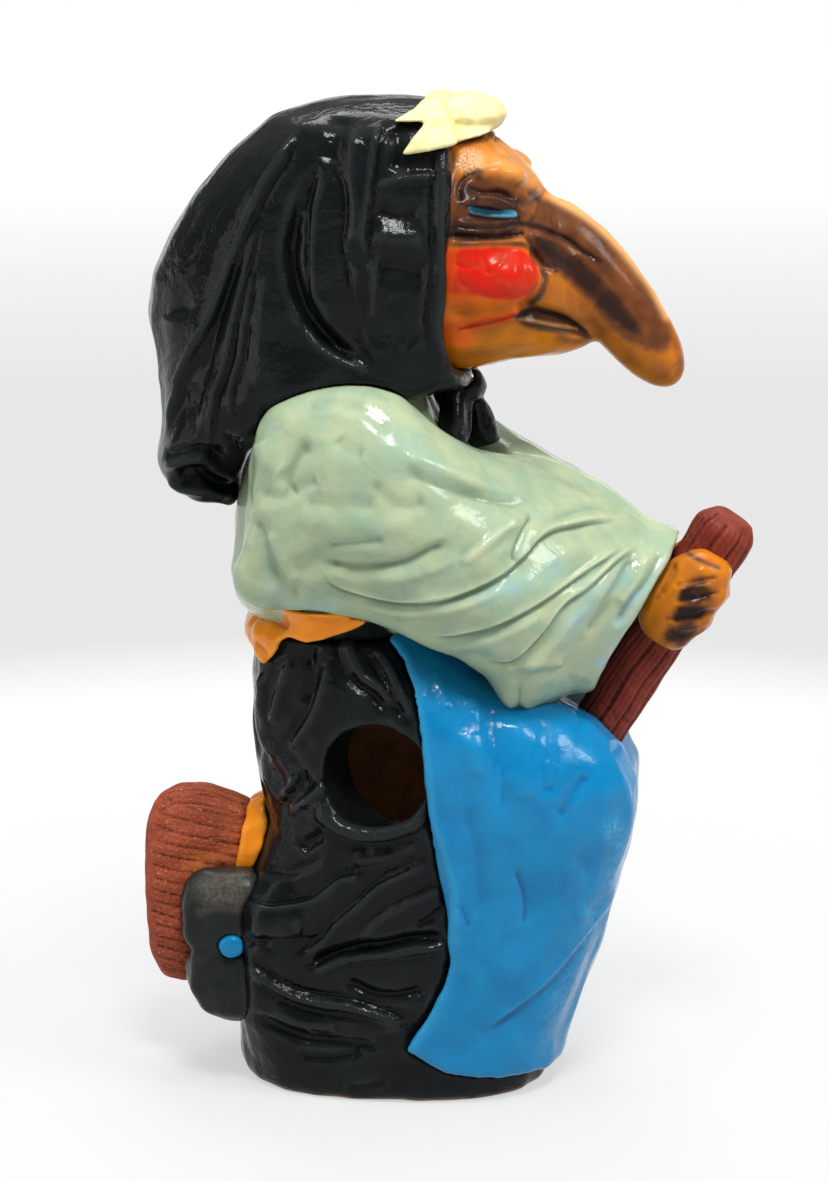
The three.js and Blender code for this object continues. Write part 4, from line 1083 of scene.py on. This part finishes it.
# How each kind of piece is made: voxels and swelling in mm, rounds of smoothing, the size and height of its
# lumps in mm, its strokes and how much they gain, and the work before and after them
Form = namedtuple("Form", "voxel relax swelling lump_size lump_height strokes gain before after")
FORMS = {
    "skirt_body": Form(0.65, 24, 0, 11, 0.15, SKIRT, 1.25, bare_inside, tuck_under),
    "apron": Form(0.6, 40, 0.5, 14, 0.15, APRON, 0.8, None, worn_paint),
    "waist_sash": Form(0.5, 22, 0.3, 8, 0.12, SASH, 1, tuck_sash, None),
    "blouse_body": Form(0.7, 60, 0, 12, 0.15, BLOUSE, 0.8, bulge_back, paint_bluish_shade_and_hem),
    "sleeve": Form(0.5, 70, 0.1, 12, 0.15, BLOUSE, 0.8, drape, paint_bluish_shade),
    "headscarf": Form(0.6, 90, 0, 14, 0.12, SCARF, 1.15, lower_flap, None),
    "scarf_knot": Form(0.5, 40, 0.2, 7, 0.15, KNOT, 1, None, None),
    "head": Form(0.45, 90, 0.1, 9, 0.08, FACE, 1, close_mouth, face_paint),
    "hair_fringe": Form(0.45, 24, 0.2, 8, 0.1, HAIR, 0.7, lower_crest, None),
    "hand": Form(0.4, 50, 0.1, 7, 0.08, HAND, 1, None, hand_paint),
    "broom_handle": Form(0.45, 15, 0, 9, 0.15, [], 1, None, grain),
    "broom_brush": Form(0.5, 50, 0.3, 8, 0.1, [], 1, None, bristles),
    "broom_binding": Form(0.5, 34, 0.1, 7, 0.2, [], 1, None, None),
    "shoe": Form(0.5, 45, 0.4, 9, 0.2, [], 1, None, dusty),
    "sock": Form(0.4, 12, 0.1, 6, 0.1, [], 1, None, flatten),
}


def make_piece(node, slot, seed):
    form = FORMS[node.removesuffix("_right").removesuffix("_left")]
    clay = Clay(node, form.voxel, form.relax)
    if form.before:
        form.before(clay)
    clay.push(form.swelling + form.lump_height * lumps(clay.points, form.lump_size, seed))
    clay.press(form.strokes, form.gain)
    if form.after:
        form.after(clay)
    clay.finish(MATERIALS[slot], slot)


make_camera()
for seed, row in enumerate(frame["record"]["subparts"]):
    make_piece(row["node"], row["material_slot"], seed)

# The floor, in metres: its half width, where the sweep's brightness ends, and how much of it is painted on
# near the object and further away
FLOOR = 30
SWEEP_END = 3
# Glow of the floor by distance in metres: white near and far, with a grey band of painted backdrop shade
# between
SWEEP = [(0.4, 1.0), (0.49, 0.8), (1.15, 0.8), (2.4, 1.0)]
PAINTED_NEAR, PAINTED_FAR = 0.55, 1
NEAR, FAR = 0.05, 0.28

# Light from above, with a dim room at eye level: brightness of the sky by height
SKY = [(0.0, 0.1), (0.35, 0.18), (0.75, 0.5), (1.0, 1.6)]
HORIZON_LOW, HORIZON_HIGH = 0.02, 0.14

# Lamps: place in metres, size in metres, power in watts
LAMPS = {
    "ceiling": ((0.12, -0.55, 1.1), 0.26, 9.5),
    "window": ((0.95, -0.35, 1.0), 0.45, 9),
    "fill": ((-1.0, -0.45, 0.45), 0.8, 3),
    "rim": ((-0.1, 0.55, 1.0), 0.5, 4),
}


def floor_paint():
    """Pale paper. Far from the object it is as bright as a studio sweep, and near it takes shadows."""
    m = Paint("floor")
    cool_paper, paper = (0.54, 0.545, 0.55), (0.56, 0.56, 0.56)
    color = m.mix(m.range(m.noise(60, 2), 0.3, 0.7), cool_paper, paper)
    m.finish(color, 0.6, m.noise(5, 2), depth=0.01)
    away = m.node("ShaderNodeVectorMath", {0: m.place}, operation="LENGTH").outputs["Value"]
    ray = m.node("ShaderNodeLightPath").outputs
    shown = m.plus(m.plus(ray["Is Camera Ray"], ray["Is Glossy Ray"]), ray["Is Transmission Ray"])
    share = m.times(m.range(away, NEAR, FAR, PAINTED_NEAR, PAINTED_FAR), m.range(shown, 0, 1))
    levels = [(distance / SWEEP_END, level) for distance, level in SWEEP]
    glow = m.node("ShaderNodeEmission", {"Color": m.ramp(m.range(away, 0, SWEEP_END), levels)})
    shaders = {0: share, 1: m.shader.outputs["BSDF"], 2: glow.outputs["Emission"]}
    both = m.node("ShaderNodeMixShader", shaders)
    m.links.new(both.outputs["Shader"], m.nodes["Material Output"].inputs["Surface"])
    return m.material


def lay_floor():
    mesh = bpy.data.meshes.new("floor")
    corners = [(-FLOOR, -FLOOR, 0), (FLOOR, -FLOOR, 0), (FLOOR, FLOOR, 0), (-FLOOR, FLOOR, 0)]
    mesh.from_pydata(corners, [], [(0, 1, 2, 3)])
    mesh.materials.append(floor_paint())
    floor = bpy.data.objects.new("floor", mesh)
    SCENE.collection.objects.link(floor)
    return floor


def paint_sky():
    """The sky lights the object. The camera sees a white backdrop instead, and so do low reflections."""
    m = Paint(None)
    height = m.rise()
    ray = m.node("ShaderNodeLightPath").outputs
    low = m.times(ray["Is Glossy Ray"], m.range(height, HORIZON_LOW, HORIZON_HIGH, 1, 0))
    shown = m.plus(m.plus(ray["Is Camera Ray"], ray["Is Transmission Ray"]), low)
    m.put(m.shader.inputs["Color"], m.mix(shown, m.ramp(height, SKY), (1, 1, 1)))


def hang_lamp(name, place, size, power):
    data = bpy.data.lights.new(name, "AREA")
    data.energy = power
    data.size = size
    light = bpy.data.objects.new(name, data)
    SCENE.collection.objects.link(light)
    light.location = place
    light.rotation_euler = (light.location - CAMERA_TARGET).to_track_quat("Z", "Y").to_euler()


floor = lay_floor()
paint_sky()
for name, (place, size, power) in LAMPS.items():
    hang_lamp(name, place, size, power)

SCENE.view_settings.view_transform = "Standard"
